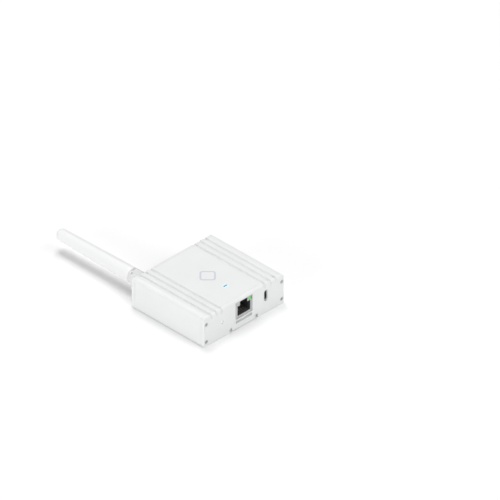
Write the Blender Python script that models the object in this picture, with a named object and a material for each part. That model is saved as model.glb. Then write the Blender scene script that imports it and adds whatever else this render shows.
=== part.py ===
"""Small network gateway powered over its network cable: a ribbed metal case with a jack, a USB port,
a reset button and a folding rod antenna.

Metres, +Z up. X runs across the front, the front face looks towards -Y and the antenna leaves
towards +Y. The origin is the centre of the bottom face.
"""

import math

import bmesh
import bpy
from mathutils import Matrix, Vector

MM = 0.001

# Case
BODY_WIDTH = 77.0 * MM
BODY_DEPTH = 70.0 * MM
BODY_HEIGHT = 24.0 * MM
SIDE_ROUND = 2.2 * MM
END_ROUND = 2.2 * MM
BOTTOM_ROUND = 0.7 * MM
PLATE_THICKNESS = 3.0 * MM
SEAM = 0.1 * MM
GAP = 0.3 * MM
SIDE_WALL = 1.6 * MM
ROOF_PANEL = 1.8 * MM
ROOF_RIBBED = 3.4 * MM
PANEL_HALF = 17.5 * MM
COVER_THICKNESS = 1.6 * MM
BOSS_DEPTH = 3.9 * MM
LOWER_BOSS = (1.9 * MM, 5.9 * MM)
UPPER_BOSS_BOTTOM = 16.1 * MM

# Grooves between the ribs
GROOVE_OFFSETS = (7.2 * MM, 12.3 * MM, 17.4 * MM)
GROOVE_WIDTH = 2.6 * MM
GROOVE_DEPTH = 1.1 * MM
GROOVE_END_HEIGHT = 19.4 * MM

# Screws in the end plates
END_SCREW_INSET = 2.0 * MM
END_SCREW_HEIGHTS = (3.9 * MM, 18.2 * MM)
END_SCREW_HEAD = 1.45 * MM
END_SCREW_HEAD_DEPTH = 1.0 * MM
END_SCREW_SHANK = 0.8 * MM
END_SCREW_LENGTH = 9.0 * MM

# Network jack
JACK_WIDTH = 15.9 * MM
JACK_BOTTOM = 8.3 * MM
JACK_TOP = 21.7 * MM
JACK_DEPTH = 15.5 * MM
JACK_SHEET = 0.4 * MM
JACK_FRONT = -BODY_DEPTH / 2 + 0.3 * MM
PLUG_HALF = 5.95 * MM
PLUG_BOTTOM = 10.2 * MM
PLUG_TOP = 18.0 * MM
LATCH_HALF = 3.6 * MM
LATCH_TOP = 21.2 * MM
LAMP_LOW = (4.4 * MM, 18.3 * MM)
LAMP_HIGH = (7.2 * MM, 20.7 * MM)
CONTACT_COUNT = 8
CONTACT_PITCH = 1.02 * MM

# Blind slot under the jack and blind notches for the wall bracket
SLOT_WIDTH = 15.6 * MM
SLOT_BOTTOM = 4.9 * MM
SLOT_TOP = 7.0 * MM
SLOT_DEPTH = 2.0 * MM
NOTCH_X = 12.3 * MM
NOTCH_WIDTH = 3.0 * MM
NOTCH_HEIGHT = 4.0 * MM
NOTCH_STEP = 0.5 * MM
NOTCH_DEPTH = 2.2 * MM

# USB port and reset button
USB_X = 21.1 * MM
USB_Z = 14.3 * MM
USB_WIDTH = 3.2 * MM
USB_HEIGHT = 8.94 * MM
USB_SHEET = 0.3 * MM
USB_DEPTH = 7.5 * MM
RESET_X = -21.3 * MM
RESET_Z = 12.8 * MM
RESET_RADIUS = 1.2 * MM
RESET_FLANGE = 2.0 * MM
RESET_TRAVEL = 0.5 * MM

# Status light
STATUS_Y = -17.0 * MM
STATUS_WIDTH = 3.2 * MM
STATUS_LINE = 0.9 * MM

# Circuit board
BOARD_HALF_WIDTH = 33.5 * MM
BOARD_FRONT = -31.5 * MM
BOARD_BACK = 29.0 * MM
BOARD_BOTTOM = 6.3 * MM
BOARD_THICKNESS = 1.6 * MM
BOARD_TOP = BOARD_BOTTOM + BOARD_THICKNESS
BOARD_SCREW_X = 29.5 * MM
BOARD_SCREW_Y = (-21.0 * MM, 25.0 * MM)
COVER_SCREW_X = 34.6 * MM
COVER_SCREW_Y = 21.0 * MM
BRACKET_SLOT_Y = (-18.0 * MM, 18.0 * MM)
BRACKET_SLOT_LENGTH = 14.0 * MM

# Antenna
ANTENNA_X = -23.4 * MM
ANTENNA_Z = 12.0 * MM
KNUCKLE_RADIUS = 5.6 * MM
KNUCKLE_ROOT = 5.0 * MM
EAR_END = 6.25 * MM
TONGUE_END = 4.7 * MM
HINGE_Y = 41.8 * MM
EAR_GAP = 2.9 * MM
TONGUE_HALF = 2.6 * MM
STEM_SHOULDER = 6.5 * MM
SHOULDER_THICKNESS = 0.8 * MM
SPINDLE_RADIUS = 3.0 * MM
SPINDLE_HOLE = 3.2 * MM
SPINDLE_START = 28.6 * MM
LEAD_RADIUS = 0.6 * MM
LEAD_BORE = 1.2 * MM
PIN_RADIUS = 1.0 * MM
PIN_CLEARANCE = 0.1 * MM
PIN_HALF_LENGTH = 5.0 * MM
ROD_TIP_RADIUS = 4.6 * MM
ROD_TIP_Y = 121.0 * MM
ROD_TIP_ROUND = 3.2 * MM
ROD_BORE = 3.6 * MM

FRONT = -BODY_DEPTH / 2
BACK = BODY_DEPTH / 2
FRONT_INNER = FRONT + PLATE_THICKNESS
BACK_INNER = BACK - PLATE_THICKNESS


# ---------------------------------------------------------------- building blocks

def clear_scene():
    for thing in list(bpy.data.objects):
        bpy.data.objects.remove(thing, do_unlink=True)


def material(name, colour, roughness, metallic=0.0):
    made = bpy.data.materials.get(name)
    if made:
        return made
    made = bpy.data.materials.new(name)
    made.use_nodes = True
    shader = made.node_tree.nodes["Principled BSDF"]
    shader.inputs["Base Color"].default_value = (*colour, 1.0)
    shader.inputs["Roughness"].default_value = roughness
    shader.inputs["Metallic"].default_value = metallic
    return made


def white_paint():
    return material("white_paint", (0.84, 0.85, 0.84), 0.45)


def white_plastic():
    return material("white_plastic", (0.90, 0.91, 0.91), 0.30)


def bright_steel():
    return material("bright_steel", (0.62, 0.62, 0.63), 0.28, 1.0)


def black_plastic():
    return material("black_plastic", (0.02, 0.02, 0.022), 0.45)


def green_board():
    return material("green_board", (0.02, 0.18, 0.08), 0.50)


def copper():
    return material("copper", (0.72, 0.38, 0.20), 0.35, 1.0)


def gold():
    return material("gold", (0.83, 0.62, 0.25), 0.25, 1.0)


def ferrite():
    return material("ferrite", (0.06, 0.06, 0.065), 0.60)


def add_object(name, bm, finish, smooth=True):
    """Turns a bmesh into a named object with one material."""
    bmesh.ops.recalc_face_normals(bm, faces=bm.faces[:])
    mesh = bpy.data.meshes.new(name)
    bm.to_mesh(mesh)
    bm.free()
    made = bpy.data.objects.new(name, mesh)
    bpy.context.scene.collection.objects.link(made)
    if finish:
        mesh.materials.append(finish)
    if smooth:
        mesh.shade_smooth()
        mesh.set_sharp_from_angle(angle=math.radians(35))
    return made


def add_box(bm, low, high):
    size = Vector(high) - Vector(low)
    middle = (Vector(high) + Vector(low)) / 2
    place = Matrix.Translation(middle) @ Matrix.Diagonal((*size, 1.0))
    bmesh.ops.create_cube(bm, size=1.0, matrix=place)


def along(axis, first, second, travel):
    """A point whose place along axis is travel and whose other two coordinates are first, second."""
    if axis == "X":
        return Vector((travel, first, second))
    if axis == "Y":
        return Vector((first, travel, second))
    return Vector((first, second, travel))


def add_prism(bm, outline, axis, start, end):
    """A closed solid: a flat outline extruded along X, Y or Z."""
    corners = [bm.verts.new(along(axis, u, v, start)) for u, v in outline]
    face = bm.faces.new(corners)
    grown = bmesh.ops.extrude_face_region(bm, geom=[face])["geom"]
    moved = [item for item in grown if isinstance(item, bmesh.types.BMVert)]
    bmesh.ops.translate(bm, verts=moved, vec=along(axis, 0.0, 0.0, end - start))


def add_turned(bm, profile, axis, centre, steps, closed=False):
    """A turned solid. profile lists (radius, place along the axis); closed joins its two ends."""
    across = {"X": Vector((0, 1, 0)), "Y": Vector((0, 0, 1)), "Z": Vector((1, 0, 0))}[axis]
    line = {"X": Vector((1, 0, 0)), "Y": Vector((0, 1, 0)), "Z": Vector((0, 0, 1))}[axis]
    middle = Vector(centre)
    points = [bm.verts.new(middle + across * radius + line * place) for radius, place in profile]
    edges = [bm.edges.new(pair) for pair in zip(points, points[1:])]
    if closed:
        edges.append(bm.edges.new((points[-1], points[0])))
    bmesh.ops.spin(bm, geom=points + edges, cent=middle, axis=line, angle=math.tau,
                   steps=steps, use_merge=True, use_duplicate=False)
    bmesh.ops.remove_doubles(bm, verts=bm.verts[:], dist=1e-7)


def arc(centre, radius, first, last, steps):
    """Points on a circle from the first angle to the last, in degrees."""
    points = []
    for step in range(steps + 1):
        angle = math.radians(first + (last - first) * step / steps)
        points.append((centre[0] + radius * math.cos(angle), centre[1] + radius * math.sin(angle)))
    return points


def rounded_rectangle(centre, width, height, radius, steps=4):
    half_w = width / 2 - radius
    half_h = height / 2 - radius
    points = []
    for quarter, (side, up) in enumerate(((1, 1), (-1, 1), (-1, -1), (1, -1))):
        corner = (centre[0] + side * half_w, centre[1] + up * half_h)
        points += arc(corner, radius, 90 * quarter, 90 * quarter + 90, steps)
    kept = []
    for point in points:
        if not kept or math.dist(point, kept[-1]) > 1e-7:
            kept.append(point)
    if math.dist(kept[0], kept[-1]) < 1e-7:
        kept.pop()
    return kept


def boolean(target, tool, operation="DIFFERENCE"):
    """Applies a solid to another with a Boolean modifier, and keeps the tool as a hidden guide."""
    tool.hide_render = True
    tool.display_type = "WIRE"
    step = target.modifiers.new(operation.lower(), "BOOLEAN")
    step.operation = operation
    step.object = tool
    step.solver = "EXACT"


def pivot_at(name, place):
    """An empty on a joint's axis; what moves about it is parented to it."""
    made = bpy.data.objects.new(name, None)
    made.location = place
    made.empty_display_size = 5 * MM
    bpy.context.scene.collection.objects.link(made)
    return made


def carry(pivot, *pieces):
    """Parents pieces to a pivot without moving them."""
    for piece in pieces:
        piece.parent = pivot
        piece.matrix_parent_inverse = Matrix.Translation(-pivot.location)


# ---------------------------------------------------------------- case

def outer_outline():
    """The case's cross-section seen from the front: small round at the bottom, larger at the top."""
    half = BODY_WIDTH / 2
    shoulder = half - SIDE_ROUND
    crown = BODY_HEIGHT - SIDE_ROUND
    foot = half - BOTTOM_ROUND
    points = arc((foot, BOTTOM_ROUND), BOTTOM_ROUND, -90, 0, 3)
    points += arc((shoulder, crown), SIDE_ROUND, 0, 90, 5)
    points += arc((-shoulder, crown), SIDE_ROUND, 90, 180, 5)
    points += arc((-foot, BOTTOM_ROUND), BOTTOM_ROUND, 180, 270, 3)
    return points


def groove_path():
    """Stations of one groove: (y, z, outward y, outward z, depth), from the middle to the front."""
    stations = [(0.0, BODY_HEIGHT, 0.0, 1.0, GROOVE_DEPTH)]
    centre_y = FRONT + END_ROUND
    centre_z = BODY_HEIGHT - END_ROUND
    for step in range(7):
        angle = math.radians(90 + 15 * step)
        out_y = math.cos(angle)
        out_z = math.sin(angle)
        depth = GROOVE_DEPTH * (1.0 - 0.35 * step / 6)
        stations.append((centre_y + END_ROUND * out_y, centre_z + END_ROUND * out_z,
                         out_y, out_z, depth))
    fade_top = BODY_HEIGHT - END_ROUND
    for share, depth_share in ((0.45, 0.42), (1.0, 0.04)):
        height = fade_top + (GROOVE_END_HEIGHT - fade_top) * share
        stations.append((FRONT, height, -1.0, 0.0, GROOVE_DEPTH * depth_share))
    return stations


def groove_section(depth):
    """Half-round-bottomed groove across its path: (sideways, outward) points."""
    half = GROOVE_WIDTH / 2
    reach = 1.0 * MM
    lip = half + 0.25 * MM
    floor = min(depth, half * 0.7)
    points = [(lip, reach), (lip, 0.0)]
    for step in range(5):
        angle = math.radians(45 * step)
        points.append((half * 0.92 * math.cos(angle), -depth + floor - floor * math.sin(angle)))
    points += [(-lip, 0.0), (-lip, reach)]
    return points


def add_groove(bm, x, end):
    """One groove cutter. end is -1 for the front, 1 for the back."""
    rings = []
    for y, z, out_y, out_z, depth in groove_path():
        ring = []
        for side, out in groove_section(depth):
            place = Vector((x + side, -end * (y + out * out_y), z + out * out_z))
            ring.append(bm.verts.new(place))
        rings.append(ring)
    for ring, following in zip(rings, rings[1:]):
        count = len(ring)
        for index in range(count):
            other = (index + 1) % count
            bm.faces.new((ring[index], ring[other], following[other], following[index]))
    bm.faces.new(rings[0])
    bm.faces.new(rings[-1])


def groove_cutter(name, end):
    bm = bmesh.new()
    for offset in GROOVE_OFFSETS:
        for side in (-1, 1):
            add_groove(bm, side * (BODY_WIDTH / 2 - offset), end)
    return add_object(name, bm, None)


def end_round_cutter(name, end):
    """Rounds the long top edge of an end plate: a bar with a hollow quarter circle."""
    face = end * BODY_DEPTH / 2
    reach = 2.0 * MM
    centre = (face - end * END_ROUND, BODY_HEIGHT - END_ROUND)
    first, last = (90, 0) if end > 0 else (90, 180)
    outline = arc(centre, END_ROUND, first, last, 8)
    outline += [(face + end * reach, BODY_HEIGHT - END_ROUND),
                (face + end * reach, BODY_HEIGHT + reach),
                (centre[0], BODY_HEIGHT + reach)]
    bm = bmesh.new()
    add_prism(bm, outline, "X", -BODY_WIDTH, BODY_WIDTH)
    return add_object(name, bm, None)


def end_screw_places():
    """Screw centres on an end face, seen along Y: (x, z)."""
    for height in END_SCREW_HEIGHTS:
        for side in (-1, 1):
            yield side * (BODY_WIDTH / 2 - END_SCREW_INSET), height


def upper_housing():
    """Roof and side walls: one extruded shell, open below and at both ends."""
    half = BODY_WIDTH / 2
    wall = half - SIDE_WALL
    boss = half - BOSS_DEPTH - SIDE_WALL
    ribbed = BODY_HEIGHT - ROOF_RIBBED
    panel = BODY_HEIGHT - ROOF_PANEL
    right = [(wall, 0.0), (wall, LOWER_BOSS[0]), (boss, LOWER_BOSS[0]), (boss, LOWER_BOSS[1]),
             (wall, LOWER_BOSS[1]), (wall, UPPER_BOSS_BOTTOM), (boss, UPPER_BOSS_BOTTOM),
             (boss, ribbed), (PANEL_HALF, ribbed), (PANEL_HALF, panel)]
    left = [(-x, z) for x, z in right]
    outline = outer_outline() + left + right[::-1]
    bm = bmesh.new()
    add_prism(bm, outline, "Y", FRONT_INNER + SEAM, BACK_INNER - SEAM)
    shell = add_object("upper_housing", bm, white_paint())

    holes = bmesh.new()
    depth = END_SCREW_LENGTH + 1.0 * MM
    for x, z in end_screw_places():
        for end in (-1, 1):
            centre = (x, end * BACK, z)
            profile = [(0.0, end * MM), (END_SCREW_SHANK + 0.15 * MM, end * MM),
                       (END_SCREW_SHANK + 0.15 * MM, -end * depth), (0.0, -end * depth)]
            add_turned(holes, profile, "Y", centre, 12)
    for side in (-1, 1):
        for end in (-1, 1):
            centre = (side * COVER_SCREW_X, end * COVER_SCREW_Y, 0.0)
            radius = END_SCREW_SHANK + 0.15 * MM
            profile = [(0.0, 0.5 * MM), (radius, 0.5 * MM), (radius, 5.2 * MM), (0.0, 5.2 * MM)]
            add_turned(holes, profile, "Z", centre, 12)
    add_box(holes, (-STATUS_WIDTH / 2 - GAP / 2, STATUS_Y - STATUS_LINE / 2 - GAP / 2, 20 * MM),
            (STATUS_WIDTH / 2 + GAP / 2, STATUS_Y + STATUS_LINE / 2 + GAP / 2, 26 * MM))
    boolean(shell, add_object("housing_holes", holes, None))
    boolean(shell, groove_cutter("housing_grooves_front", -1))
    boolean(shell, groove_cutter("housing_grooves_back", 1))
    return shell


def add_end_screw_recess(bm, x, z, end):
    """Through hole and sunk seat of one screw in an end plate."""
    seat = END_SCREW_HEAD_DEPTH + GAP
    centre = (x, end * BACK, z)
    wide = END_SCREW_HEAD + 0.15 * MM
    narrow = END_SCREW_SHANK + 0.25 * MM
    profile = [(0.0, end * MM), (wide, end * MM), (wide, -end * seat), (narrow, -end * seat),
               (narrow, -end * (PLATE_THICKNESS + MM)), (0.0, -end * (PLATE_THICKNESS + MM))]
    add_turned(bm, profile, "Y", centre, 16)


def end_plate(name, end):
    """A plate that closes one end of the shell, with the ribs' ends and a rounded top edge."""
    face = end * BODY_DEPTH / 2
    bm = bmesh.new()
    add_prism(bm, outer_outline(), "Y", min(face, face - end * PLATE_THICKNESS),
              max(face, face - end * PLATE_THICKNESS))
    plate = add_object(name, bm, white_paint())
    boolean(plate, end_round_cutter(name + "_rounding", end))
    boolean(plate, groove_cutter(name + "_grooves", end))
    return plate


def bracket_notches():
    """Underside of the front plate, seen from the front: two notches and a low step between."""
    inner = NOTCH_X - NOTCH_WIDTH / 2
    outer = NOTCH_X + NOTCH_WIDTH / 2
    below = -1.0 * MM
    right = [(outer, below), (outer, NOTCH_HEIGHT - 0.6 * MM), (outer - 0.6 * MM, NOTCH_HEIGHT),
             (inner + 0.6 * MM, NOTCH_HEIGHT), (inner, NOTCH_HEIGHT - 0.6 * MM), (inner, NOTCH_STEP)]
    left = [(-x, z) for x, z in reversed(right)]
    return right + left


def plug_outline(margin=0.0):
    """Mouth of the network jack, seen from the front, with its latch notch at the top."""
    right = [(PLUG_HALF + margin, PLUG_BOTTOM - margin), (PLUG_HALF + margin, PLUG_TOP + margin),
             (LATCH_HALF + margin, PLUG_TOP + margin), (LATCH_HALF + margin, LATCH_TOP + margin)]
    left = [(-x, z) for x, z in reversed(right)]
    return right + left


def front_plate():
    plate = end_plate("front_plate", -1)
    first = FRONT - MM
    last = FRONT_INNER + MM
    cuts = bmesh.new()
    jack_middle = (0.0, (JACK_BOTTOM + JACK_TOP) / 2)
    jack_height = JACK_TOP - JACK_BOTTOM
    add_prism(cuts, rounded_rectangle(jack_middle, JACK_WIDTH + 2 * GAP, jack_height + 2 * GAP, 0.4 * MM, 2),
              "Y", first, last)
    slot_middle = (0.0, (SLOT_BOTTOM + SLOT_TOP) / 2)
    add_prism(cuts, rounded_rectangle(slot_middle, SLOT_WIDTH, SLOT_TOP - SLOT_BOTTOM, 0.5 * MM, 2),
              "Y", first, FRONT + SLOT_DEPTH)
    add_prism(cuts, rounded_rectangle((USB_X, USB_Z), USB_WIDTH + 2 * GAP, USB_HEIGHT + 2 * GAP,
                                      USB_WIDTH / 2 + GAP - 0.01 * MM, 5), "Y", first, last)
    add_prism(cuts, arc((RESET_X, RESET_Z), RESET_RADIUS + 0.2 * MM, 0, 345, 23), "Y", first, last)
    add_prism(cuts, bracket_notches(), "Y", first, FRONT + NOTCH_DEPTH)
    for x, z in end_screw_places():
        add_end_screw_recess(cuts, x, z, -1)
    boolean(plate, add_object("front_plate_openings", cuts, None))
    return plate


def rear_plate():
    plate = end_plate("rear_plate", 1)
    cuts = bmesh.new()
    add_prism(cuts, arc((ANTENNA_X, ANTENNA_Z), SPINDLE_HOLE, 0, 345, 23), "Y",
              BACK_INNER - MM, BACK + MM)
    for x, z in end_screw_places():
        add_end_screw_recess(cuts, x, z, 1)
    boolean(plate, add_object("rear_plate_openings", cuts, None))
    return plate


def bottom_cover():
    """Floor of the case, let in between the side walls, with board posts and bracket slots."""
    half = BODY_WIDTH / 2 - SIDE_WALL - GAP
    length = BODY_DEPTH - 2 * (PLATE_THICKNESS + SEAM)
    bm = bmesh.new()
    add_prism(bm, rounded_rectangle((0, 0), 2 * half, length, 0.5 * MM, 2), "Z", 0.0, COVER_THICKNESS)
    cover = add_object("bottom_cover", bm, white_paint())
    posts = bmesh.new()
    for side in (-1, 1):
        for y in BOARD_SCREW_Y:
            top = BOARD_BOTTOM - GAP
            profile = [(0.0, 1.0 * MM), (2.3 * MM, 1.0 * MM), (2.3 * MM, top), (0.0, top)]
            add_turned(posts, profile, "Z", (side * BOARD_SCREW_X, y, 0.0), 16)
    boolean(cover, add_object("cover_posts", posts, None), "UNION")

    cuts = bmesh.new()
    for side in (-1, 1):
        for y in BOARD_SCREW_Y:
            profile = [(0.0, 2.4 * MM), (0.85 * MM, 2.4 * MM), (0.85 * MM, 8 * MM), (0.0, 8 * MM)]
            add_turned(cuts, profile, "Z", (side * BOARD_SCREW_X, y, 0.0), 12)
        for end in (-1, 1):
            seat = 0.9 * MM
            profile = [(0.0, -MM), (1.65 * MM, -MM), (1.65 * MM, seat), (1.0 * MM, seat),
                       (1.0 * MM, 3 * MM), (0.0, 3 * MM)]
            add_turned(cuts, profile, "Z", (side * COVER_SCREW_X, end * COVER_SCREW_Y, 0.0), 16)
        for y in BRACKET_SLOT_Y:
            add_prism(cuts, rounded_rectangle((side * NOTCH_X, y), NOTCH_WIDTH, BRACKET_SLOT_LENGTH, MM, 3),
                      "Z", -MM, 3 * MM)
    add_prism(cuts, rounded_rectangle((0, 17 * MM), 17 * MM, 22 * MM, MM, 3), "Z", -MM, 0.4 * MM)
    boolean(cover, add_object("cover_cuts", cuts, None))
    return cover


def rating_label():
    """Blank sticker in its recess under the case."""
    bm = bmesh.new()
    add_prism(bm, rounded_rectangle((0, 17 * MM), 16.2 * MM, 21.2 * MM, 0.8 * MM, 3), "Z",
              0.08 * MM, 0.28 * MM)
    return add_object("rating_label", bm, material("label_film", (0.75, 0.76, 0.77), 0.35))


# ---------------------------------------------------------------- fasteners

def screw_mesh(name, head, head_depth, shank, length, steps):
    """A screw along +Z with its head's top at the origin and its shank pointing down."""
    socket = head * 0.45
    profile = [(0.0, -0.5 * head_depth), (socket, -0.5 * head_depth), (socket, 0.0),
               (head * 0.86, 0.0), (head, -0.14 * head), (head, -head_depth), (shank, -head_depth),
               (shank, -length + shank * 0.6), (shank * 0.5, -length), (0.0, -length)]
    bm = bmesh.new()
    add_turned(bm, profile, "Z", (0, 0, 0), steps)
    made = add_object(name, bm, bright_steel())
    return made


def place_screw(name, pattern, place, turn):
    """One screw: the first keeps the pattern's mesh, the others share it."""
    made = bpy.data.objects.new(name, pattern)
    bpy.context.scene.collection.objects.link(made)
    made.location = place
    made.rotation_euler = turn
    return made


def screws():
    first = screw_mesh("pattern", END_SCREW_HEAD, END_SCREW_HEAD_DEPTH, END_SCREW_SHANK,
                       END_SCREW_LENGTH, 12)
    end_pattern = first.data
    bpy.data.objects.remove(first)
    second = screw_mesh("pattern", 1.8 * MM, 1.2 * MM, 0.7 * MM, 5.0 * MM, 10)
    board_pattern = second.data
    bpy.data.objects.remove(second)
    third = screw_mesh("pattern", 1.5 * MM, 0.7 * MM, 0.8 * MM, 4.6 * MM, 10)
    cover_pattern = third.data
    bpy.data.objects.remove(third)

    quarter = math.pi / 2
    for number, (x, z) in enumerate(end_screw_places(), 1):
        place_screw(f"front_screw_{number}", end_pattern, (x, FRONT + 0.05 * MM, z), (quarter, 0, 0))
        place_screw(f"rear_screw_{number}", end_pattern, (x, BACK - 0.05 * MM, z), (-quarter, 0, 0))
    number = 0
    for side in (-1, 1):
        for end in (-1, 1):
            number += 1
            y = BOARD_SCREW_Y[0] if end < 0 else BOARD_SCREW_Y[1]
            place_screw(f"board_screw_{number}", board_pattern,
                        (side * BOARD_SCREW_X, y, BOARD_TOP + GAP + 1.2 * MM), (0, 0, 0))
            place_screw(f"cover_screw_{number}", cover_pattern,
                        (side * COVER_SCREW_X, end * COVER_SCREW_Y, 0.05 * MM), (math.pi, 0, 0))


# ---------------------------------------------------------------- board and what it carries

def main_board():
    middle_y = (BOARD_FRONT + BOARD_BACK) / 2
    bm = bmesh.new()
    add_prism(bm, rounded_rectangle((0, middle_y), 2 * BOARD_HALF_WIDTH, BOARD_BACK - BOARD_FRONT, MM, 3),
              "Z", BOARD_BOTTOM, BOARD_TOP)
    board = add_object("main_board", bm, green_board())
    holes = bmesh.new()
    for side in (-1, 1):
        for y in BOARD_SCREW_Y:
            outline = arc((side * BOARD_SCREW_X, y), 1.2 * MM, 0, 330, 11)
            add_prism(holes, outline, "Z", BOARD_BOTTOM - MM, BOARD_TOP + MM)
    boolean(board, add_object("board_holes", holes, None))
    return board


def jack_shield():
    """Folded steel can round the network jack, open below and behind its mouth."""
    half = JACK_WIDTH / 2
    back = JACK_FRONT + JACK_DEPTH
    bm = bmesh.new()
    add_box(bm, (-half, JACK_FRONT, JACK_BOTTOM), (half, back, JACK_TOP))
    can = add_object("jack_shield", bm, bright_steel())
    hollow = bmesh.new()
    add_box(hollow, (-half + JACK_SHEET, JACK_FRONT + JACK_SHEET, JACK_BOTTOM - MM),
            (half - JACK_SHEET, back - JACK_SHEET, JACK_TOP - JACK_SHEET))
    boolean(can, add_object("jack_shield_hollow", hollow, None))
    mouth = bmesh.new()
    add_prism(mouth, plug_outline(), "Y", JACK_FRONT - MM, JACK_FRONT + 0.8 * MM)
    for side in (-1, 1):
        middle = (side * (LAMP_LOW[0] + LAMP_HIGH[0]) / 2, (LAMP_LOW[1] + LAMP_HIGH[1]) / 2)
        size = (LAMP_HIGH[0] - LAMP_LOW[0], LAMP_HIGH[1] - LAMP_LOW[1])
        add_prism(mouth, rounded_rectangle(middle, size[0], size[1], 0.3 * MM, 2), "Y",
                  JACK_FRONT - MM, JACK_FRONT + 0.8 * MM)
    boolean(can, add_object("jack_shield_mouth", mouth, None))
    return can


def jack_insert():
    """Moulded black body of the jack, with the plug's cavity and two pockets for the lamps."""
    half = JACK_WIDTH / 2 - JACK_SHEET - 0.25 * MM
    front = JACK_FRONT + JACK_SHEET + 0.2 * MM
    back = JACK_FRONT + JACK_DEPTH - JACK_SHEET - GAP
    bm = bmesh.new()
    add_box(bm, (-half, front, JACK_BOTTOM + 0.1 * MM), (half, back, JACK_TOP - JACK_SHEET - 0.2 * MM))
    block = add_object("jack_insert", bm, black_plastic())
    cuts = bmesh.new()
    add_prism(cuts, plug_outline(0.02 * MM), "Y", front - MM, front + 12.6 * MM)
    for side in (-1, 1):
        near = side * (LAMP_LOW[0] - 0.1 * MM)
        far = side * (half + MM)
        add_box(cuts, (min(near, far), front - MM, LAMP_LOW[1] - 0.1 * MM),
                (max(near, far), front + 7 * MM, JACK_TOP + MM))
    boolean(block, add_object("jack_insert_cuts", cuts, None))
    return block


def jack_lamps():
    """Clear light guides that show in the jack's upper corners."""
    glow = {"left": (0.55, 0.56, 0.55), "right": (0.15, 0.80, 0.25)}
    for side, word in ((-1, "left"), (1, "right")):
        near = side * (LAMP_LOW[0] + 0.15 * MM)
        far = side * (LAMP_HIGH[0] - 0.15 * MM)
        bm = bmesh.new()
        add_box(bm, (min(near, far), JACK_FRONT + 0.05 * MM, LAMP_LOW[1] + 0.15 * MM),
                (max(near, far), JACK_FRONT + 7.2 * MM, LAMP_HIGH[1] - 0.15 * MM))
        bmesh.ops.bevel(bm, geom=bm.edges[:], offset=0.1 * MM, segments=1, affect="EDGES")
        add_object("jack_lamp_" + word, bm, material("lamp_" + word, glow[word], 0.2))


def jack_contacts():
    """Comb of spring contacts on the floor of the plug's cavity, joined by a moulded bar."""
    front = JACK_FRONT + JACK_SHEET
    floor = PLUG_BOTTOM + 0.3 * MM
    span = CONTACT_PITCH * (CONTACT_COUNT - 1)
    bm = bmesh.new()
    add_box(bm, (-span / 2 - MM, front + 11.4 * MM, floor),
            (span / 2 + MM, front + 12.4 * MM, floor + 2.0 * MM))
    comb = add_object("jack_contacts", bm, gold())
    fingers = bmesh.new()
    for number in range(CONTACT_COUNT):
        x = -span / 2 + number * CONTACT_PITCH
        outline = [(front + 3.4 * MM, floor + 0.05 * MM), (front + 4.4 * MM, floor + 0.05 * MM),
                   (front + 11.8 * MM, floor + 1.3 * MM), (front + 11.8 * MM, floor + 1.7 * MM),
                   (front + 3.4 * MM, floor + 0.4 * MM)]
        add_prism(fingers, outline, "X", x - 0.2 * MM, x + 0.2 * MM)
    boolean(comb, add_object("contact_fingers", fingers, None), "UNION")
    return comb


def usb_port():
    """Steel sleeve, moulded tongue and the cradle that holds them upright on the board."""
    centre = (USB_X, USB_Z)
    front = JACK_FRONT
    back = front + USB_DEPTH
    bm = bmesh.new()
    add_prism(bm, rounded_rectangle(centre, USB_WIDTH, USB_HEIGHT, USB_WIDTH / 2 - 0.01 * MM, 5),
              "Y", front, back)
    sleeve = add_object("usb_shell", bm, bright_steel())
    bore = bmesh.new()
    inner = USB_WIDTH - 2 * USB_SHEET
    add_prism(bore, rounded_rectangle(centre, inner, USB_HEIGHT - 2 * USB_SHEET, inner / 2 - 0.01 * MM, 5),
              "Y", front - MM, back + MM)
    boolean(sleeve, add_object("usb_bore", bore, None))

    plug = bmesh.new()
    fit = inner - 0.2 * MM
    add_prism(plug, rounded_rectangle(centre, fit, USB_HEIGHT - 2 * USB_SHEET - 0.2 * MM,
                                      fit / 2 - 0.01 * MM, 4), "Y", back - 1.8 * MM, back - 0.1 * MM)
    tongue = add_object("usb_tongue", plug, black_plastic())
    blade = bmesh.new()
    add_box(blade, (USB_X - 0.35 * MM, front + 0.9 * MM, USB_Z - 3.2 * MM),
            (USB_X + 0.35 * MM, back - 1.0 * MM, USB_Z + 3.2 * MM))
    boolean(tongue, add_object("usb_blade", blade, None), "UNION")

    outer = 3.0 * MM
    slot = USB_WIDTH / 2 + GAP
    base = BOARD_TOP + GAP
    floor = USB_Z - USB_HEIGHT / 2 - GAP
    top = USB_Z - 0.5 * MM
    outline = [(USB_X - outer, base), (USB_X + outer, base), (USB_X + outer, top), (USB_X + slot, top),
               (USB_X + slot, floor), (USB_X - slot, floor), (USB_X - slot, top), (USB_X - outer, top)]
    cradle = bmesh.new()
    add_prism(cradle, outline, "Y", FRONT_INNER + 0.6 * MM, back)
    add_object("usb_cradle", cradle, black_plastic())


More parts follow.
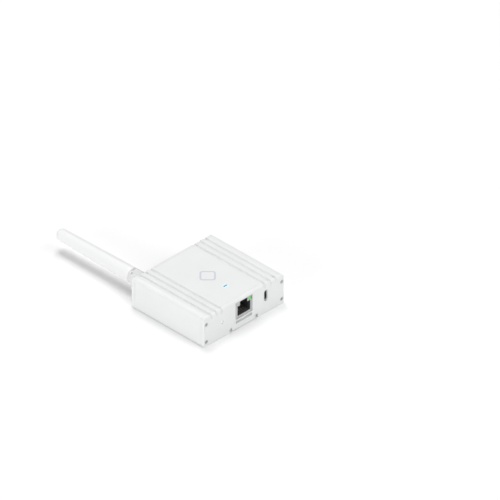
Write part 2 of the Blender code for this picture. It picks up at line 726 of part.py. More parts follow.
def reset_parts():
    """Push button in the front plate and the small switch behind it."""
    tip = FRONT + 0.25 * MM
    shoulder = FRONT_INNER + GAP
    heel = shoulder + 0.6 * MM
    profile = [(0.0, tip), (RESET_RADIUS * 0.8, tip), (RESET_RADIUS, tip + 0.2 * MM),
               (RESET_RADIUS, shoulder), (RESET_FLANGE, shoulder), (RESET_FLANGE, heel), (0.0, heel)]
    bm = bmesh.new()
    add_turned(bm, profile, "Y", (RESET_X, 0, RESET_Z), 20)
    button = add_object("reset_button", bm, white_plastic())

    nub = heel + RESET_TRAVEL + 0.1 * MM
    body = nub + 0.6 * MM
    half = 3.0 * MM
    block = bmesh.new()
    add_box(block, (RESET_X - half, body, BOARD_TOP + GAP),
            (RESET_X + half, body + 3.4 * MM, RESET_Z + 2.6 * MM))
    switch = add_object("reset_switch", block, black_plastic())
    stud = bmesh.new()
    add_turned(stud, [(0.0, nub), (0.9 * MM, nub), (0.9 * MM, body + MM), (0.0, body + MM)], "Y",
               (RESET_X, 0, RESET_Z), 12)
    boolean(switch, add_object("switch_stud", stud, None), "UNION")
    pivot = pivot_at("reset_pivot", (RESET_X, tip, RESET_Z))
    carry(pivot, button)


def status_light():
    """Lamp on the board and the clear bar that brings its light up to the roof."""
    bm = bmesh.new()
    add_box(bm, (-0.8 * MM, STATUS_Y - 0.4 * MM, BOARD_TOP + GAP),
            (0.8 * MM, STATUS_Y + 0.4 * MM, BOARD_TOP + GAP + 0.6 * MM))
    add_object("status_lamp", bm, material("lamp_status", (0.8, 0.85, 0.9), 0.3))
    guide = bmesh.new()
    add_prism(guide, rounded_rectangle((0, STATUS_Y), STATUS_WIDTH, STATUS_LINE, 0.2 * MM, 2), "Z",
              BOARD_TOP + 1.3 * MM, BODY_HEIGHT - 0.02 * MM)
    add_object("status_light_guide", guide, material("clear_blue", (0.30, 0.62, 0.90), 0.2))


def board_block(name, centre, size, height, finish, chamfer):
    """A moulded component that stands on the board."""
    bm = bmesh.new()
    base = BOARD_TOP + GAP
    add_box(bm, (centre[0] - size[0] / 2, centre[1] - size[1] / 2, base),
            (centre[0] + size[0] / 2, centre[1] + size[1] / 2, base + height))
    upper = [edge for edge in bm.edges if all(vert.co.z > base + height / 2 for vert in edge.verts)]
    bmesh.ops.bevel(bm, geom=upper, offset=chamfer, segments=1, affect="EDGES")
    return add_object(name, bm, finish, smooth=False)


def power_parts():
    """Isolating transformer, storage capacitor and choke of the power stage."""
    x = -20.5 * MM
    y = -6.0 * MM
    low = BOARD_TOP + GAP
    frame = bmesh.new()
    add_box(frame, (x - 7 * MM, y - 5 * MM, low), (x + 7 * MM, y + 5 * MM, low + 10.4 * MM))
    core = add_object("transformer_core", frame, ferrite(), smooth=False)
    window = bmesh.new()
    add_box(window, (x - 5 * MM, y - 8 * MM, low + 2.0 * MM), (x + 5 * MM, y + 8 * MM, low + 8.4 * MM))
    boolean(core, add_object("core_window", window, None))
    coil = bmesh.new()
    add_prism(coil, rounded_rectangle((x, low + 5.2 * MM), 9.4 * MM, 5.8 * MM, MM, 3), "Y",
              y - 6.6 * MM, y + 6.6 * MM)
    add_object("transformer_winding", coil, copper())

    height = 10.4 * MM
    radius = 4.0 * MM
    can = bmesh.new()
    profile = [(0.0, low), (radius, low), (radius, low + 1.4 * MM), (radius - 0.3 * MM, low + 1.8 * MM),
               (radius, low + 2.2 * MM), (radius, low + height - 0.4 * MM),
               (radius - 0.4 * MM, low + height), (0.0, low + height)]
    add_turned(can, profile, "Z", (x, 10.5 * MM, 0), 20)
    add_object("storage_capacitor", can, material("capacitor_sleeve", (0.08, 0.09, 0.12), 0.35))
    board_block("power_choke", (-8 * MM, 8 * MM), (7.3 * MM, 7.3 * MM), 4.0 * MM, ferrite(), 0.8 * MM)


def signal_parts():
    """Network isolation block, processor and the radio's screening can."""
    board_block("network_transformer", (0, -9.0 * MM), (12.6 * MM, 9.0 * MM), 5.4 * MM,
                black_plastic(), 0.4 * MM)
    board_block("processor", (14 * MM, 13 * MM), (9 * MM, 9 * MM), 1.2 * MM, black_plastic(), 0.2 * MM)
    low = BOARD_TOP + GAP
    bm = bmesh.new()
    add_box(bm, (3.5 * MM, 4 * MM, low), (24.5 * MM, 22 * MM, low + 3.2 * MM))
    can = add_object("radio_shield", bm, bright_steel(), smooth=False)
    hollow = bmesh.new()
    add_box(hollow, (3.9 * MM, 4.4 * MM, low - MM), (24.1 * MM, 21.6 * MM, low + 2.8 * MM))
    boolean(can, add_object("radio_shield_hollow", hollow, None))


def antenna_lead():
    """Thin coaxial lead from its board plug into the antenna's hollow spindle."""
    plug_place = (-12.0 * MM, 21.0 * MM)
    low = BOARD_TOP + GAP
    plug = bmesh.new()
    add_turned(plug, [(0.0, low), (1.6 * MM, low), (1.6 * MM, low + 1.3 * MM), (1.2 * MM, low + 1.7 * MM),
                      (0.0, low + 1.7 * MM)], "Z", (*plug_place, 0), 16)
    add_object("lead_plug", plug, gold())

    anchors = [(-13.9, 21.0, 9.1), (-16.2, 20.6, 9.6), (-19.2, 19.7, 10.6), (-21.9, 19.9, 11.5),
               (-23.3, 21.9, 12.0), (-23.4, 25.0, 12.0), (-23.4, 29.0, 12.0), (-23.4, 33.0, 12.0),
               (-23.4, 36.2, 12.0)]
    route = smooth_route([Vector(point) * MM for point in anchors], 4)
    curve = bpy.data.curves.new("antenna_lead", "CURVE")
    curve.dimensions = "3D"
    curve.bevel_depth = LEAD_RADIUS
    curve.bevel_resolution = 2
    curve.use_fill_caps = True
    line = curve.splines.new("POLY")
    line.points.add(len(route) - 1)
    for knot, place in zip(line.points, route):
        knot.co = (*place, 1.0)
    curve.materials.append(black_plastic())
    lead = bpy.data.objects.new("antenna_lead", curve)
    bpy.context.scene.collection.objects.link(lead)


def smooth_route(anchors, parts):
    """Catmull-Rom curve through the anchors."""
    points = [anchors[0]] + anchors + [anchors[-1]]
    route = []
    for a, b, c, d in zip(points, points[1:], points[2:], points[3:]):
        for part in range(parts):
            t = part / parts
            route.append(0.5 * (2 * b + (c - a) * t + (2 * a - 5 * b + 4 * c - d) * t * t
                                + (3 * b - a - 3 * c + d) * t ** 3))
    route.append(anchors[-1])
    return route


# ---------------------------------------------------------------- antenna

def antenna_base():
    """Collar that turns on the rear plate, with a hollow spindle inside and a fork behind."""
    start = BACK + GAP
    end = HINGE_Y + EAR_END + MM
    profile = [(0.0, SPINDLE_START), (SPINDLE_RADIUS, SPINDLE_START), (SPINDLE_RADIUS, start),
               (KNUCKLE_RADIUS - 0.4 * MM, start), (KNUCKLE_RADIUS, start + 0.4 * MM),
               (KNUCKLE_RADIUS, end), (0.0, end)]
    centre = (ANTENNA_X, 0.0, ANTENNA_Z)
    bm = bmesh.new()
    add_turned(bm, profile, "Y", centre, 32)
    collar = add_object("antenna_base", bm, white_paint())

    slot = bmesh.new()
    add_box(slot, (ANTENNA_X - EAR_GAP, HINGE_Y - KNUCKLE_ROOT, ANTENNA_Z - 9 * MM),
            (ANTENNA_X + EAR_GAP, end + MM, ANTENNA_Z + 9 * MM))
    boolean(collar, add_object("fork_slot", slot, None))

    ends = bmesh.new()
    reach = 8 * MM
    outline = arc((HINGE_Y, ANTENNA_Z), EAR_END, 90, -90, 16)
    outline += [(HINGE_Y, ANTENNA_Z - reach), (end + MM, ANTENNA_Z - reach),
                (end + MM, ANTENNA_Z + reach), (HINGE_Y, ANTENNA_Z + reach)]
    add_prism(ends, outline, "X", ANTENNA_X - reach, ANTENNA_X + reach)
    boolean(collar, add_object("fork_rounding", ends, None))

    bores = bmesh.new()
    add_prism(bores, arc((ANTENNA_X, ANTENNA_Z), LEAD_BORE, 0, 330, 11), "Y", 25 * MM,
              HINGE_Y - KNUCKLE_ROOT + MM)
    add_prism(bores, arc((HINGE_Y, ANTENNA_Z), PIN_RADIUS + PIN_CLEARANCE, 0, 345, 23), "X",
              ANTENNA_X - reach, ANTENNA_X + reach)
    boolean(collar, add_object("base_bores", bores, None))
    return collar


def swivel_fasteners():
    """Spring washer and nut that hold the spindle to the rear plate, inside the case."""
    centre = (ANTENNA_X, 0.0, ANTENNA_Z)
    inner = SPINDLE_RADIUS + 0.15 * MM
    washer = bmesh.new()
    add_turned(washer, [(inner, 31.2 * MM), (4.7 * MM, 31.2 * MM), (4.7 * MM, 31.7 * MM),
                        (inner, 31.7 * MM)], "Y", centre, 20, closed=True)
    ring = add_object("swivel_washer", washer, bright_steel())
    hexagon = bmesh.new()
    add_prism(hexagon, arc((ANTENNA_X, ANTENNA_Z), 5.0 * MM, 0, 300, 5), "Y", 29.2 * MM, 30.9 * MM)
    nut = add_object("swivel_nut", hexagon, bright_steel(), smooth=False)
    hole = bmesh.new()
    add_prism(hole, arc((ANTENNA_X, ANTENNA_Z), inner, 0, 345, 23), "Y", 28 * MM, 32 * MM)
    boolean(nut, add_object("nut_hole", hole, None))
    return ring, nut


def hinge_pin():
    bm = bmesh.new()
    half = PIN_HALF_LENGTH
    edge = 0.2 * MM
    profile = [(0.0, -half), (PIN_RADIUS - edge, -half), (PIN_RADIUS, -half + edge),
               (PIN_RADIUS, half - edge), (PIN_RADIUS - edge, half), (0.0, half)]
    add_turned(bm, profile, "X", (ANTENNA_X, HINGE_Y, ANTENNA_Z), 16)
    return add_object("hinge_pin", bm, bright_steel())


def antenna_stem():
    """Tongue on the hinge pin, a shoulder, and the plug that the rod is pushed onto."""
    shoulder = HINGE_Y + STEM_SHOULDER
    plug_start = shoulder + SHOULDER_THICKNESS
    plug_end = plug_start + 7.0 * MM
    profile = [(0.0, shoulder), (KNUCKLE_RADIUS - 0.1 * MM, shoulder),
               (KNUCKLE_RADIUS - 0.1 * MM, plug_start), (ROD_BORE - 0.2 * MM, plug_start),
               (ROD_BORE - 0.2 * MM, plug_end), (0.0, plug_end)]
    bm = bmesh.new()
    add_turned(bm, profile, "Y", (ANTENNA_X, 0.0, ANTENNA_Z), 32)
    stem = add_object("antenna_stem", bm, white_plastic())
    tongue = bmesh.new()
    outline = arc((HINGE_Y, ANTENNA_Z), TONGUE_END, 90, 270, 16)
    outline += [(shoulder + 0.4 * MM, ANTENNA_Z - TONGUE_END), (shoulder + 0.4 * MM, ANTENNA_Z + TONGUE_END)]
    add_prism(tongue, outline, "X", ANTENNA_X - TONGUE_HALF, ANTENNA_X + TONGUE_HALF)
    boolean(stem, add_object("stem_tongue", tongue, None), "UNION")
    bore = bmesh.new()
    add_prism(bore, arc((HINGE_Y, ANTENNA_Z), PIN_RADIUS + PIN_CLEARANCE, 0, 345, 23), "X",
              ANTENNA_X - 8 * MM, ANTENNA_X + 8 * MM)
    boolean(stem, add_object("stem_bore", bore, None))
    return stem


def rod_radius(y):
    """Outer radius of the tapering rod."""
    start = HINGE_Y + STEM_SHOULDER + SHOULDER_THICKNESS
    end = ROD_TIP_Y - ROD_TIP_ROUND
    share = (y - start) / (end - start)
    return KNUCKLE_RADIUS + (ROD_TIP_RADIUS - KNUCKLE_RADIUS) * share


def antenna_sheath():
    """Tapering tube with a round closed tip, open towards the stem."""
    start = HINGE_Y + STEM_SHOULDER + SHOULDER_THICKNESS + 0.15 * MM
    dome = ROD_TIP_Y - ROD_TIP_ROUND
    flat = ROD_TIP_RADIUS - ROD_TIP_ROUND
    outer = [(rod_radius(start) - 0.2 * MM, start), (rod_radius(start), start + 0.2 * MM),
             (rod_radius(85 * MM), 85 * MM)]
    for radius, place in arc((flat, dome), ROD_TIP_ROUND, 0, 90, 6):
        outer.append((radius, place))
    outer.append((0.0, ROD_TIP_Y))
    bore_end = ROD_TIP_Y - 6.0 * MM
    bore_tip = 3.0 * MM
    inner = [(0.0, bore_end), (bore_tip, bore_end), (ROD_BORE, 60 * MM), (ROD_BORE, start)]
    bm = bmesh.new()
    add_turned(bm, outer[::-1] + inner[::-1], "Y", (ANTENNA_X, 0.0, ANTENNA_Z), 32)
    return add_object("antenna_sheath", bm, white_plastic())


def antenna_radiator():
    """Brass sleeve and whip inside the rod."""
    bm = bmesh.new()
    profile = [(0.0, 58 * MM), (2.4 * MM, 58 * MM), (2.4 * MM, 85 * MM), (0.7 * MM, 85 * MM),
               (0.7 * MM, 113 * MM), (0.0, 113 * MM)]
    add_turned(bm, profile, "Y", (ANTENNA_X, 0.0, ANTENNA_Z), 16)
    return add_object("antenna_radiator", bm, material("brass", (0.75, 0.58, 0.25), 0.3, 1.0))


def antenna():
    collar = antenna_base()
    ring, nut = swivel_fasteners()
    pin = hinge_pin()
    stem = antenna_stem()
    sheath = antenna_sheath()
    whip = antenna_radiator()
    swivel = pivot_at("swivel_pivot", (ANTENNA_X, BACK, ANTENNA_Z))
    fold = pivot_at("fold_pivot", (ANTENNA_X, HINGE_Y, ANTENNA_Z))
    carry(swivel, collar, nut, pin, fold)
    fold.matrix_parent_inverse = Matrix.Translation(-swivel.location)
    bpy.context.view_layer.update()
    for piece in (stem, sheath, whip):
        piece.parent = fold
        piece.matrix_parent_inverse = fold.matrix_world.inverted()


def build():
    clear_scene()
    upper_housing()
    front_plate()
    rear_plate()
    bottom_cover()
    rating_label()
    screws()
    main_board()
    jack_shield()
    jack_insert()
    jack_lamps()
    jack_contacts()
    usb_port()
    reset_parts()
    status_light()
    power_parts()
    signal_parts()
    antenna_lead()
    antenna()


build()
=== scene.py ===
"""Looks of the small network gateway: fine meshes, procedural materials, pale floor, soft light, camera.

Metres, in the frame of the CAD model. X runs across the front, +Y towards the antenna, +Z up.
"""
import math

import bmesh
import bpy
from mathutils import Matrix, Vector


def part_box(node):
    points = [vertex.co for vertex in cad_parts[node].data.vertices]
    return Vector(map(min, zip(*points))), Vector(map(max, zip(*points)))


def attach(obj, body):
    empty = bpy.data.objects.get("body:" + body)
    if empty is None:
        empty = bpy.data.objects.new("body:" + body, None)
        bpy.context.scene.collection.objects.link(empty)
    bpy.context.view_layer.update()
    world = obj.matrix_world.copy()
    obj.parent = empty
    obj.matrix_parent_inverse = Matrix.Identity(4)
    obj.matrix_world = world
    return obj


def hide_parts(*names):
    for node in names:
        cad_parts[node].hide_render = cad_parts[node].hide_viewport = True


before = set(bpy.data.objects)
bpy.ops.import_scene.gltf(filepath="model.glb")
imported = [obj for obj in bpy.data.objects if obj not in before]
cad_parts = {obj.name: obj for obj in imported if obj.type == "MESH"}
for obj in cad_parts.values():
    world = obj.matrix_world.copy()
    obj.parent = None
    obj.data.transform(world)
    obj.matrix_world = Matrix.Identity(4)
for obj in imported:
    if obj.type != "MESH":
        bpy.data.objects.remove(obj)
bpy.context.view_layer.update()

MM = 0.001

# ---------------------------------------------------------------- sizes, from the frame

HOUSING_LOW, HOUSING_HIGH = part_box("upper_housing")
FRONT_LOW, FRONT_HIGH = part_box("front_plate")
REAR_LOW, REAR_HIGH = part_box("rear_plate")
SHIELD_LOW, SHIELD_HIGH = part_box("jack_shield")
INSERT_LOW, INSERT_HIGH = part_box("jack_insert")
CONTACT_LOW, CONTACT_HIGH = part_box("jack_contacts")
USB_LOW, USB_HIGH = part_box("usb_shell")
TONGUE_LOW, TONGUE_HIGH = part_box("usb_tongue")
BUTTON_LOW, BUTTON_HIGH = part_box("reset_button")
GUIDE_LOW, GUIDE_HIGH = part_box("status_light_guide")
BASE_LOW, BASE_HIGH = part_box("antenna_base")
STEM_LOW, STEM_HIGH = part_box("antenna_stem")
ROD_LOW, ROD_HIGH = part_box("antenna_sheath")
PIN_LOW, PIN_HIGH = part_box("hinge_pin")

HALF_WIDTH = HOUSING_HIGH.x
FRONT = FRONT_LOW.y
BACK = REAR_HIGH.y
ROOF = HOUSING_HIGH.z
TOP_ROUND = 2.2 * MM        # rounding where the roof meets the front and the back
SHOULDER = 3.9 * MM         # how far the softer rounding of the sides reaches in
BOTTOM_ROUND = 0.7 * MM
SIDE_WALL = 1.6 * MM
EDGE = 0.12 * MM            # bevel on sharp edges
FIT_GAP = 0.16 * MM         # how much wider an opening is than the piece that fills it
HAIR = 0.01 * MM            # keeps the corner radius of a fully round end just under half its width
SAME_PLACE = 0.1 * MM       # nearer than this counts as the same coordinate
WELD = 1e-7                 # points nearer than this are joined, in metres

GROOVE_OFFSETS = (7.2 * MM, 12.3 * MM, 17.4 * MM)   # in from either side
GROOVE_HALF = 1.55 * MM     # half the width
GROOVE_DEPTH = 1.05 * MM
GROOVE_END = 19.3 * MM      # height where a groove fades out on the end faces
GROOVE_SHIFT = -0.35 * MM   # all six lie this far towards -X

AXIS_X = (ROD_LOW.x + ROD_HIGH.x) / 2
AXIS_Z = (ROD_LOW.z + ROD_HIGH.z) / 2
HINGE_Y = (PIN_LOW.y + PIN_HIGH.y) / 2
BUTTON_X = (BUTTON_LOW.x + BUTTON_HIGH.x) / 2
BUTTON_Z = (BUTTON_LOW.z + BUTTON_HIGH.z) / 2
USB_X = (USB_LOW.x + USB_HIGH.x) / 2
USB_Z = (USB_LOW.z + USB_HIGH.z) / 2
GUIDE_MIDDLE = ((GUIDE_LOW.x + GUIDE_HIGH.x) / 2, (GUIDE_LOW.y + GUIDE_HIGH.y) / 2)

# The plug opening of the network jack, with its latch notch on top.
MOUTH_LEFT = -5.95 * MM
MOUTH_RIGHT = 6.35 * MM
MOUTH_LOW = 10.2 * MM
MOUTH_STEP = 18.0 * MM
MOUTH_TOP = 21.2 * MM
LATCH_HALF = 3.6 * MM

PIN_BORE = 1.1 * MM         # radius of the holes for the hinge pin
BEYOND = 9 * MM             # a cutter that reaches this far from the antenna's axis passes right through


# ---------------------------------------------------------------- materials

NOISE_LOW, NOISE_HIGH = 0.3, 0.7    # a noise field lies between these almost everywhere


def new_material(name):
    """A node material. Returns it with its node tree and its Principled shader."""
    made = bpy.data.materials.new(name)
    made.use_nodes = True
    tree = made.node_tree
    shader = tree.nodes["Principled BSDF"]
    return made, tree, shader


def noise(tree, scale, detail=3.0, stretch=None):
    """A noise field in the object's own metres; stretch squeezes it along an axis."""
    place = tree.nodes.new("ShaderNodeTexCoord")
    field = tree.nodes.new("ShaderNodeTexNoise")
    field.inputs["Scale"].default_value = scale
    field.inputs["Detail"].default_value = detail
    if stretch:
        mapping = tree.nodes.new("ShaderNodeMapping")
        mapping.inputs["Scale"].default_value = stretch
        tree.links.new(place.outputs["Object"], mapping.inputs["Vector"])
        tree.links.new(mapping.outputs["Vector"], field.inputs["Vector"])
    else:
        tree.links.new(place.outputs["Object"], field.inputs["Vector"])
    return field.outputs["Fac"]


def ramp(tree, source, stops):
    """A colour ramp: stops lists (place, colour)."""
    node = tree.nodes.new("ShaderNodeValToRGB")
    elements = node.color_ramp.elements
    while len(elements) < len(stops):
        elements.new(0.5)
    for element, (place, colour) in zip(elements, stops):
        element.position = place
        element.color = (*colour, 1.0)
    tree.links.new(source, node.inputs["Fac"])
    return node.outputs["Color"]


def spread(tree, source, low, high):
    """Maps the usual range of a field onto low to high."""
    node = tree.nodes.new("ShaderNodeMapRange")
    node.inputs["From Min"].default_value = NOISE_LOW
    node.inputs["From Max"].default_value = NOISE_HIGH
    node.inputs["To Min"].default_value = low
    node.inputs["To Max"].default_value = high
    tree.links.new(source, node.inputs["Value"])
    return node.outputs["Result"]


def bump(tree, shader, source, strength, distance):
    """Relief from a field; distance is its depth in metres."""
    node = tree.nodes.new("ShaderNodeBump")
    node.inputs["Strength"].default_value = strength
    node.inputs["Distance"].default_value = distance
    tree.links.new(source, node.inputs["Height"])
    tree.links.new(node.outputs["Normal"], shader.inputs["Normal"])


def tinted(colour, factor):
    """The colour, darker or lighter."""
    return tuple(min(1.0, part * factor) for part in colour)


def coated(name, colour, rough, grain, grain_depth, variation=0.012):
    """Painted or moulded surface: faint mottling, uneven sheen and a fine grain."""
    made, tree, shader = new_material(name)
    cloud = noise(tree, 55.0, 4.0)
    shade = ramp(tree, cloud, [(NOISE_LOW, tinted(colour, 1.0 - variation)),
                               (NOISE_HIGH, tinted(colour, 1.0 + variation))])
    tree.links.new(shade, shader.inputs["Base Color"])
    sheen = spread(tree, noise(tree, 400.0, 3.0), rough - 0.04, rough + 0.05)
    tree.links.new(sheen, shader.inputs["Roughness"])
    bump(tree, shader, noise(tree, grain, 2.0), 0.35, grain_depth)
    return made


def plated(name, colour, rough, stretch=(1.0, 1.0, 1.0), grain=900.0):
    """Plated or brushed metal: fine streaks in colour, sheen and relief."""
    made, tree, shader = new_material(name)
    streaks = noise(tree, grain, 5.0, stretch)
    shade = ramp(tree, streaks, [(0.25, tinted(colour, 0.86)), (0.75, tinted(colour, 1.08))])
    tree.links.new(shade, shader.inputs["Base Color"])
    tree.links.new(spread(tree, streaks, rough - 0.07, rough + 0.10), shader.inputs["Roughness"])
    shader.inputs["Metallic"].default_value = 1.0
    bump(tree, shader, streaks, 0.25, 0.01 * MM)
    return made


def lamp(name, colour, glow, strength):
    """Tinted light guide: a mottled colour, and an even glow of its own."""
    made, tree, shader = new_material(name)
    cloud = noise(tree, 700.0, 2.0)
    tint = ramp(tree, cloud, [(NOISE_LOW, tinted(colour, 0.8)), (NOISE_HIGH, tinted(colour, 1.15))])
    tree.links.new(tint, shader.inputs["Base Color"])
    tree.links.new(spread(tree, cloud, 0.16, 0.26), shader.inputs["Roughness"])
    shader.inputs["Emission Color"].default_value = (*glow, 1.0)
    shader.inputs["Emission Strength"].default_value = strength
    return made


def board_material():
    """Green solder mask with paler copper tracks under it."""
    made, tree, shader = new_material("board_mask")
    place = tree.nodes.new("ShaderNodeTexCoord")
    tracks = tree.nodes.new("ShaderNodeTexBrick")
    tracks.inputs["Scale"].default_value = 260.0
    tracks.inputs["Mortar Size"].default_value = 0.05
    tracks.inputs["Color1"].default_value = (0.010, 0.110, 0.050, 1.0)
    tracks.inputs["Color2"].default_value = (0.014, 0.135, 0.060, 1.0)
    tracks.inputs["Mortar"].default_value = (0.030, 0.230, 0.095, 1.0)
    tree.links.new(place.outputs["Object"], tracks.inputs["Vector"])
    tree.links.new(tracks.outputs["Color"], shader.inputs["Base Color"])
    tree.links.new(spread(tree, noise(tree, 600.0), 0.28, 0.42), shader.inputs["Roughness"])
    bump(tree, shader, tracks.outputs["Fac"], 0.4, 0.03 * MM)
    return made


def winding_material():
    """Copper wire: bands across the coil, with painted shade between the turns and painted light on them."""
    made, tree, shader = new_material("winding_wire")
    place = tree.nodes.new("ShaderNodeTexCoord")
    bands = tree.nodes.new("ShaderNodeTexWave")
    bands.bands_direction = "Y"
    bands.inputs["Scale"].default_value = 550.0
    bands.inputs["Distortion"].default_value = 0.4
    tree.links.new(place.outputs["Object"], bands.inputs["Vector"])
    # Painted light and shade: dark bands for the gaps between turns, light bands for the lit wire.
    shade = ramp(tree, bands.outputs["Fac"], [(0.2, (0.30, 0.11, 0.05)), (0.8, (0.80, 0.40, 0.20))])
    tree.links.new(shade, shader.inputs["Base Color"])
    tree.links.new(spread(tree, bands.outputs["Fac"], 0.30, 0.45), shader.inputs["Roughness"])
    shader.inputs["Metallic"].default_value = 1.0
    bump(tree, shader, bands.outputs["Fac"], 0.8, 0.10 * MM)
    return made


CASE_FINISH = ((0.709, 0.721, 0.717), 0.46, 5200.0, 0.012 * MM)
PAINT = coated("case_paint", *CASE_FINISH)


def roof_paint_with_painted_glow():
    """The case's paint, with the light that leaks round the status bar painted into it as a pale blue glow.
    """
    made = coated("roof_paint_with_painted_glow", *CASE_FINISH)
    squeeze = 0.8           # the glow reaches further along X, as the bar is long that way
    full_glow = 0.9 * MM
    no_glow = 2.4 * MM
    tree = made.node_tree
    shader = tree.nodes["Principled BSDF"]
    paint = shader.inputs["Base Color"].links[0].from_socket
    place = tree.nodes.new("ShaderNodeTexCoord")
    middle = (GUIDE_LOW + GUIDE_HIGH) / 2
    shift = tree.nodes.new("ShaderNodeMapping")
    shift.inputs["Location"].default_value = (-squeeze * middle.x, -middle.y, -ROOF)
    shift.inputs["Scale"].default_value = (squeeze, 1.0, 1.0)
    reach = tree.nodes.new("ShaderNodeVectorMath")
    reach.operation = "LENGTH"
    glow = tree.nodes.new("ShaderNodeMapRange")
    glow.interpolation_type = "SMOOTHSTEP"
    glow.inputs["From Min"].default_value = full_glow
    glow.inputs["From Max"].default_value = no_glow
    glow.inputs["To Min"].default_value = 1.0
    glow.inputs["To Max"].default_value = 0.0
    # Painted light: the glow's pale blue is mixed into the paint's colour near the bar.
    blend = tree.nodes.new("ShaderNodeMix")
    blend.data_type = "RGBA"
    blend.inputs["B"].default_value = (0.68, 0.87, 0.97, 1.0)
    tree.links.new(place.outputs["Object"], shift.inputs["Vector"])
    tree.links.new(shift.outputs["Vector"], reach.inputs[0])
    tree.links.new(reach.outputs["Value"], glow.inputs["Value"])
    tree.links.new(glow.outputs["Result"], blend.inputs["Factor"])
    tree.links.new(paint, blend.inputs["A"])
    tree.links.new(blend.outputs["Result"], shader.inputs["Base Color"])
    return made


ROOF_PAINT_WITH_GLOW = roof_paint_with_painted_glow()
# The case's paint made darker for the antenna's collar and stem: the darkening is painted shade.
SHADED_KNUCKLE_PAINT = coated("shaded_knuckle_paint", (0.655, 0.662, 0.658), 0.40, 4000.0, 0.008 * MM)
ROD_PLASTIC = coated("rod_plastic", (0.748, 0.755, 0.751), 0.45, 3000.0, 0.004 * MM, 0.006)
BUTTON_PLASTIC = coated("button_plastic", (0.80, 0.81, 0.81), 0.38, 4000.0, 0.006 * MM)
BLACK_PLASTIC = coated("black_moulding", (0.018, 0.018, 0.020), 0.44, 3500.0, 0.010 * MM, 0.10)
JACK_PLASTIC = coated("jack_moulding", (0.070, 0.071, 0.073), 0.42, 3500.0, 0.010 * MM, 0.10)
CHIP_PLASTIC = coated("chip_moulding", (0.030, 0.030, 0.032), 0.55, 4500.0, 0.012 * MM, 0.10)
FERRITE = coated("ferrite_core", (0.055, 0.055, 0.060), 0.62, 2500.0, 0.030 * MM, 0.12)
SLEEVE_FILM = coated("capacitor_sleeve", (0.050, 0.060, 0.095), 0.30, 1500.0, 0.004 * MM, 0.08)
LABEL_FILM = coated("label_film", (0.72, 0.73, 0.745), 0.33, 2500.0, 0.004 * MM, 0.02)
TOP_PRINT = coated("top_print", (0.560, 0.560, 0.622), 0.34, 3500.0, 0.004 * MM, 0.03)
SCREW_STEEL = plated("screw_steel", (0.55, 0.555, 0.565), 0.36)
PALE_STEEL = plated("pale_steel", (0.88, 0.885, 0.885), 0.50)
CAN_STEEL = plated("can_steel", (0.46, 0.46, 0.47), 0.32, (1.0, 1.0, 6.0), 700.0)
GOLD = plated("gold_plate", (0.80, 0.68, 0.44), 0.24)
BRASS = plated("brass_tube", (0.78, 0.60, 0.30), 0.30, (1.0, 6.0, 1.0))
BOARD = board_material()
WIRE = winding_material()
LAMP_GREY = lamp("lamp_off", (0.50, 0.51, 0.50), (1.0, 1.0, 1.0), 0.0)
LAMP_GREEN = lamp("lamp_green", (0.11, 0.32, 0.11), (0.08, 0.85, 0.12), 0.32)
LAMP_BLUE = lamp("lamp_blue", (0.05, 0.21, 0.32), (0.06, 0.30, 0.56), 0.10)


# ---------------------------------------------------------------- mesh helpers

def to_object(name, bm):
    """Ends a bmesh and links it into the scene as an object."""
    bmesh.ops.recalc_face_normals(bm, faces=bm.faces[:])
    mesh = bpy.data.meshes.new(name)
    bm.to_mesh(mesh)
    bm.free()
    made = bpy.data.objects.new(name, mesh)
    bpy.context.scene.collection.objects.link(made)
    return made


def bake_modifiers(piece):
    """Puts the evaluated mesh in place of the piece's own and drops its modifiers."""
    bpy.context.view_layer.update()
    deps = bpy.context.evaluated_depsgraph_get()
    mesh = bpy.data.meshes.new_from_object(piece.evaluated_get(deps))
    old = piece.data
    piece.modifiers.clear()
    piece.data = mesh
    bpy.data.meshes.remove(old)


def boolean(piece, tool, operation="DIFFERENCE", keep=False):
    """Cuts the tool from the piece or joins it on. The tool goes, unless it is kept for another piece."""
    step = piece.modifiers.new("boolean", "BOOLEAN")
    step.operation = operation
    step.object = tool
    step.solver = "EXACT"
    bake_modifiers(piece)
    if not keep:
        bpy.data.objects.remove(tool, do_unlink=True)


def set_shading(mesh, angle):
    """Smooth shading, with edges sharp where faces meet at more than the angle, in degrees."""
    mesh.shade_smooth()
    mesh.set_sharp_from_angle(angle=math.radians(angle))


def smooth(piece):
    """Smooth shading that keeps flat faces flat."""
    set_shading(piece.data, 42)
    step = piece.modifiers.new("normals", "WEIGHTED_NORMAL")
    step.keep_sharp = True
    step.weight = 80
    bake_modifiers(piece)


def soften(piece, width=EDGE, segments=2):
    """Rounds every sharp edge a little and smooths the shading."""
    step = piece.modifiers.new("edges", "BEVEL")
    step.width = width
    step.segments = segments
    step.limit_method = "ANGLE"
    step.angle_limit = math.radians(40.0)
    step.use_clamp_overlap = True
    step.miter_outer = "MITER_ARC"
    bake_modifiers(piece)
    smooth(piece)


def dress(piece, finish, body, slot, *nodes):
    """Material, body and the CAD nodes that the piece stands for. The record slot is not used."""
    piece.data.materials.clear()
    piece.data.materials.append(finish)
    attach(piece, body)
    if nodes:
        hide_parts(*nodes)


def add_box(bm, low, high):
    """A box between two corners."""
    size = Vector(high) - Vector(low)
    middle = (Vector(high) + Vector(low)) / 2
    bmesh.ops.create_cube(bm, size=1.0,
                          matrix=Matrix.Translation(middle) @ Matrix.Diagonal((*size, 1.0)))


def along(axis, first, second, travel):
    """A point given by its travel along an axis and its two other coordinates, in the order X, Y, Z."""
    if axis == "X":
        return Vector((travel, first, second))
    if axis == "Y":
        return Vector((first, travel, second))
    return Vector((first, second, travel))


def add_prism(bm, outline, axis, start, end):
    """A closed solid: a flat outline extruded along X, Y or Z."""
    corners = [bm.verts.new(along(axis, u, v, start)) for u, v in outline]
    face = bm.faces.new(corners)
    grown = bmesh.ops.extrude_face_region(bm, geom=[face])["geom"]
    moved = [item for item in grown if isinstance(item, bmesh.types.BMVert)]
    bmesh.ops.translate(bm, verts=moved, vec=along(axis, 0.0, 0.0, end - start))


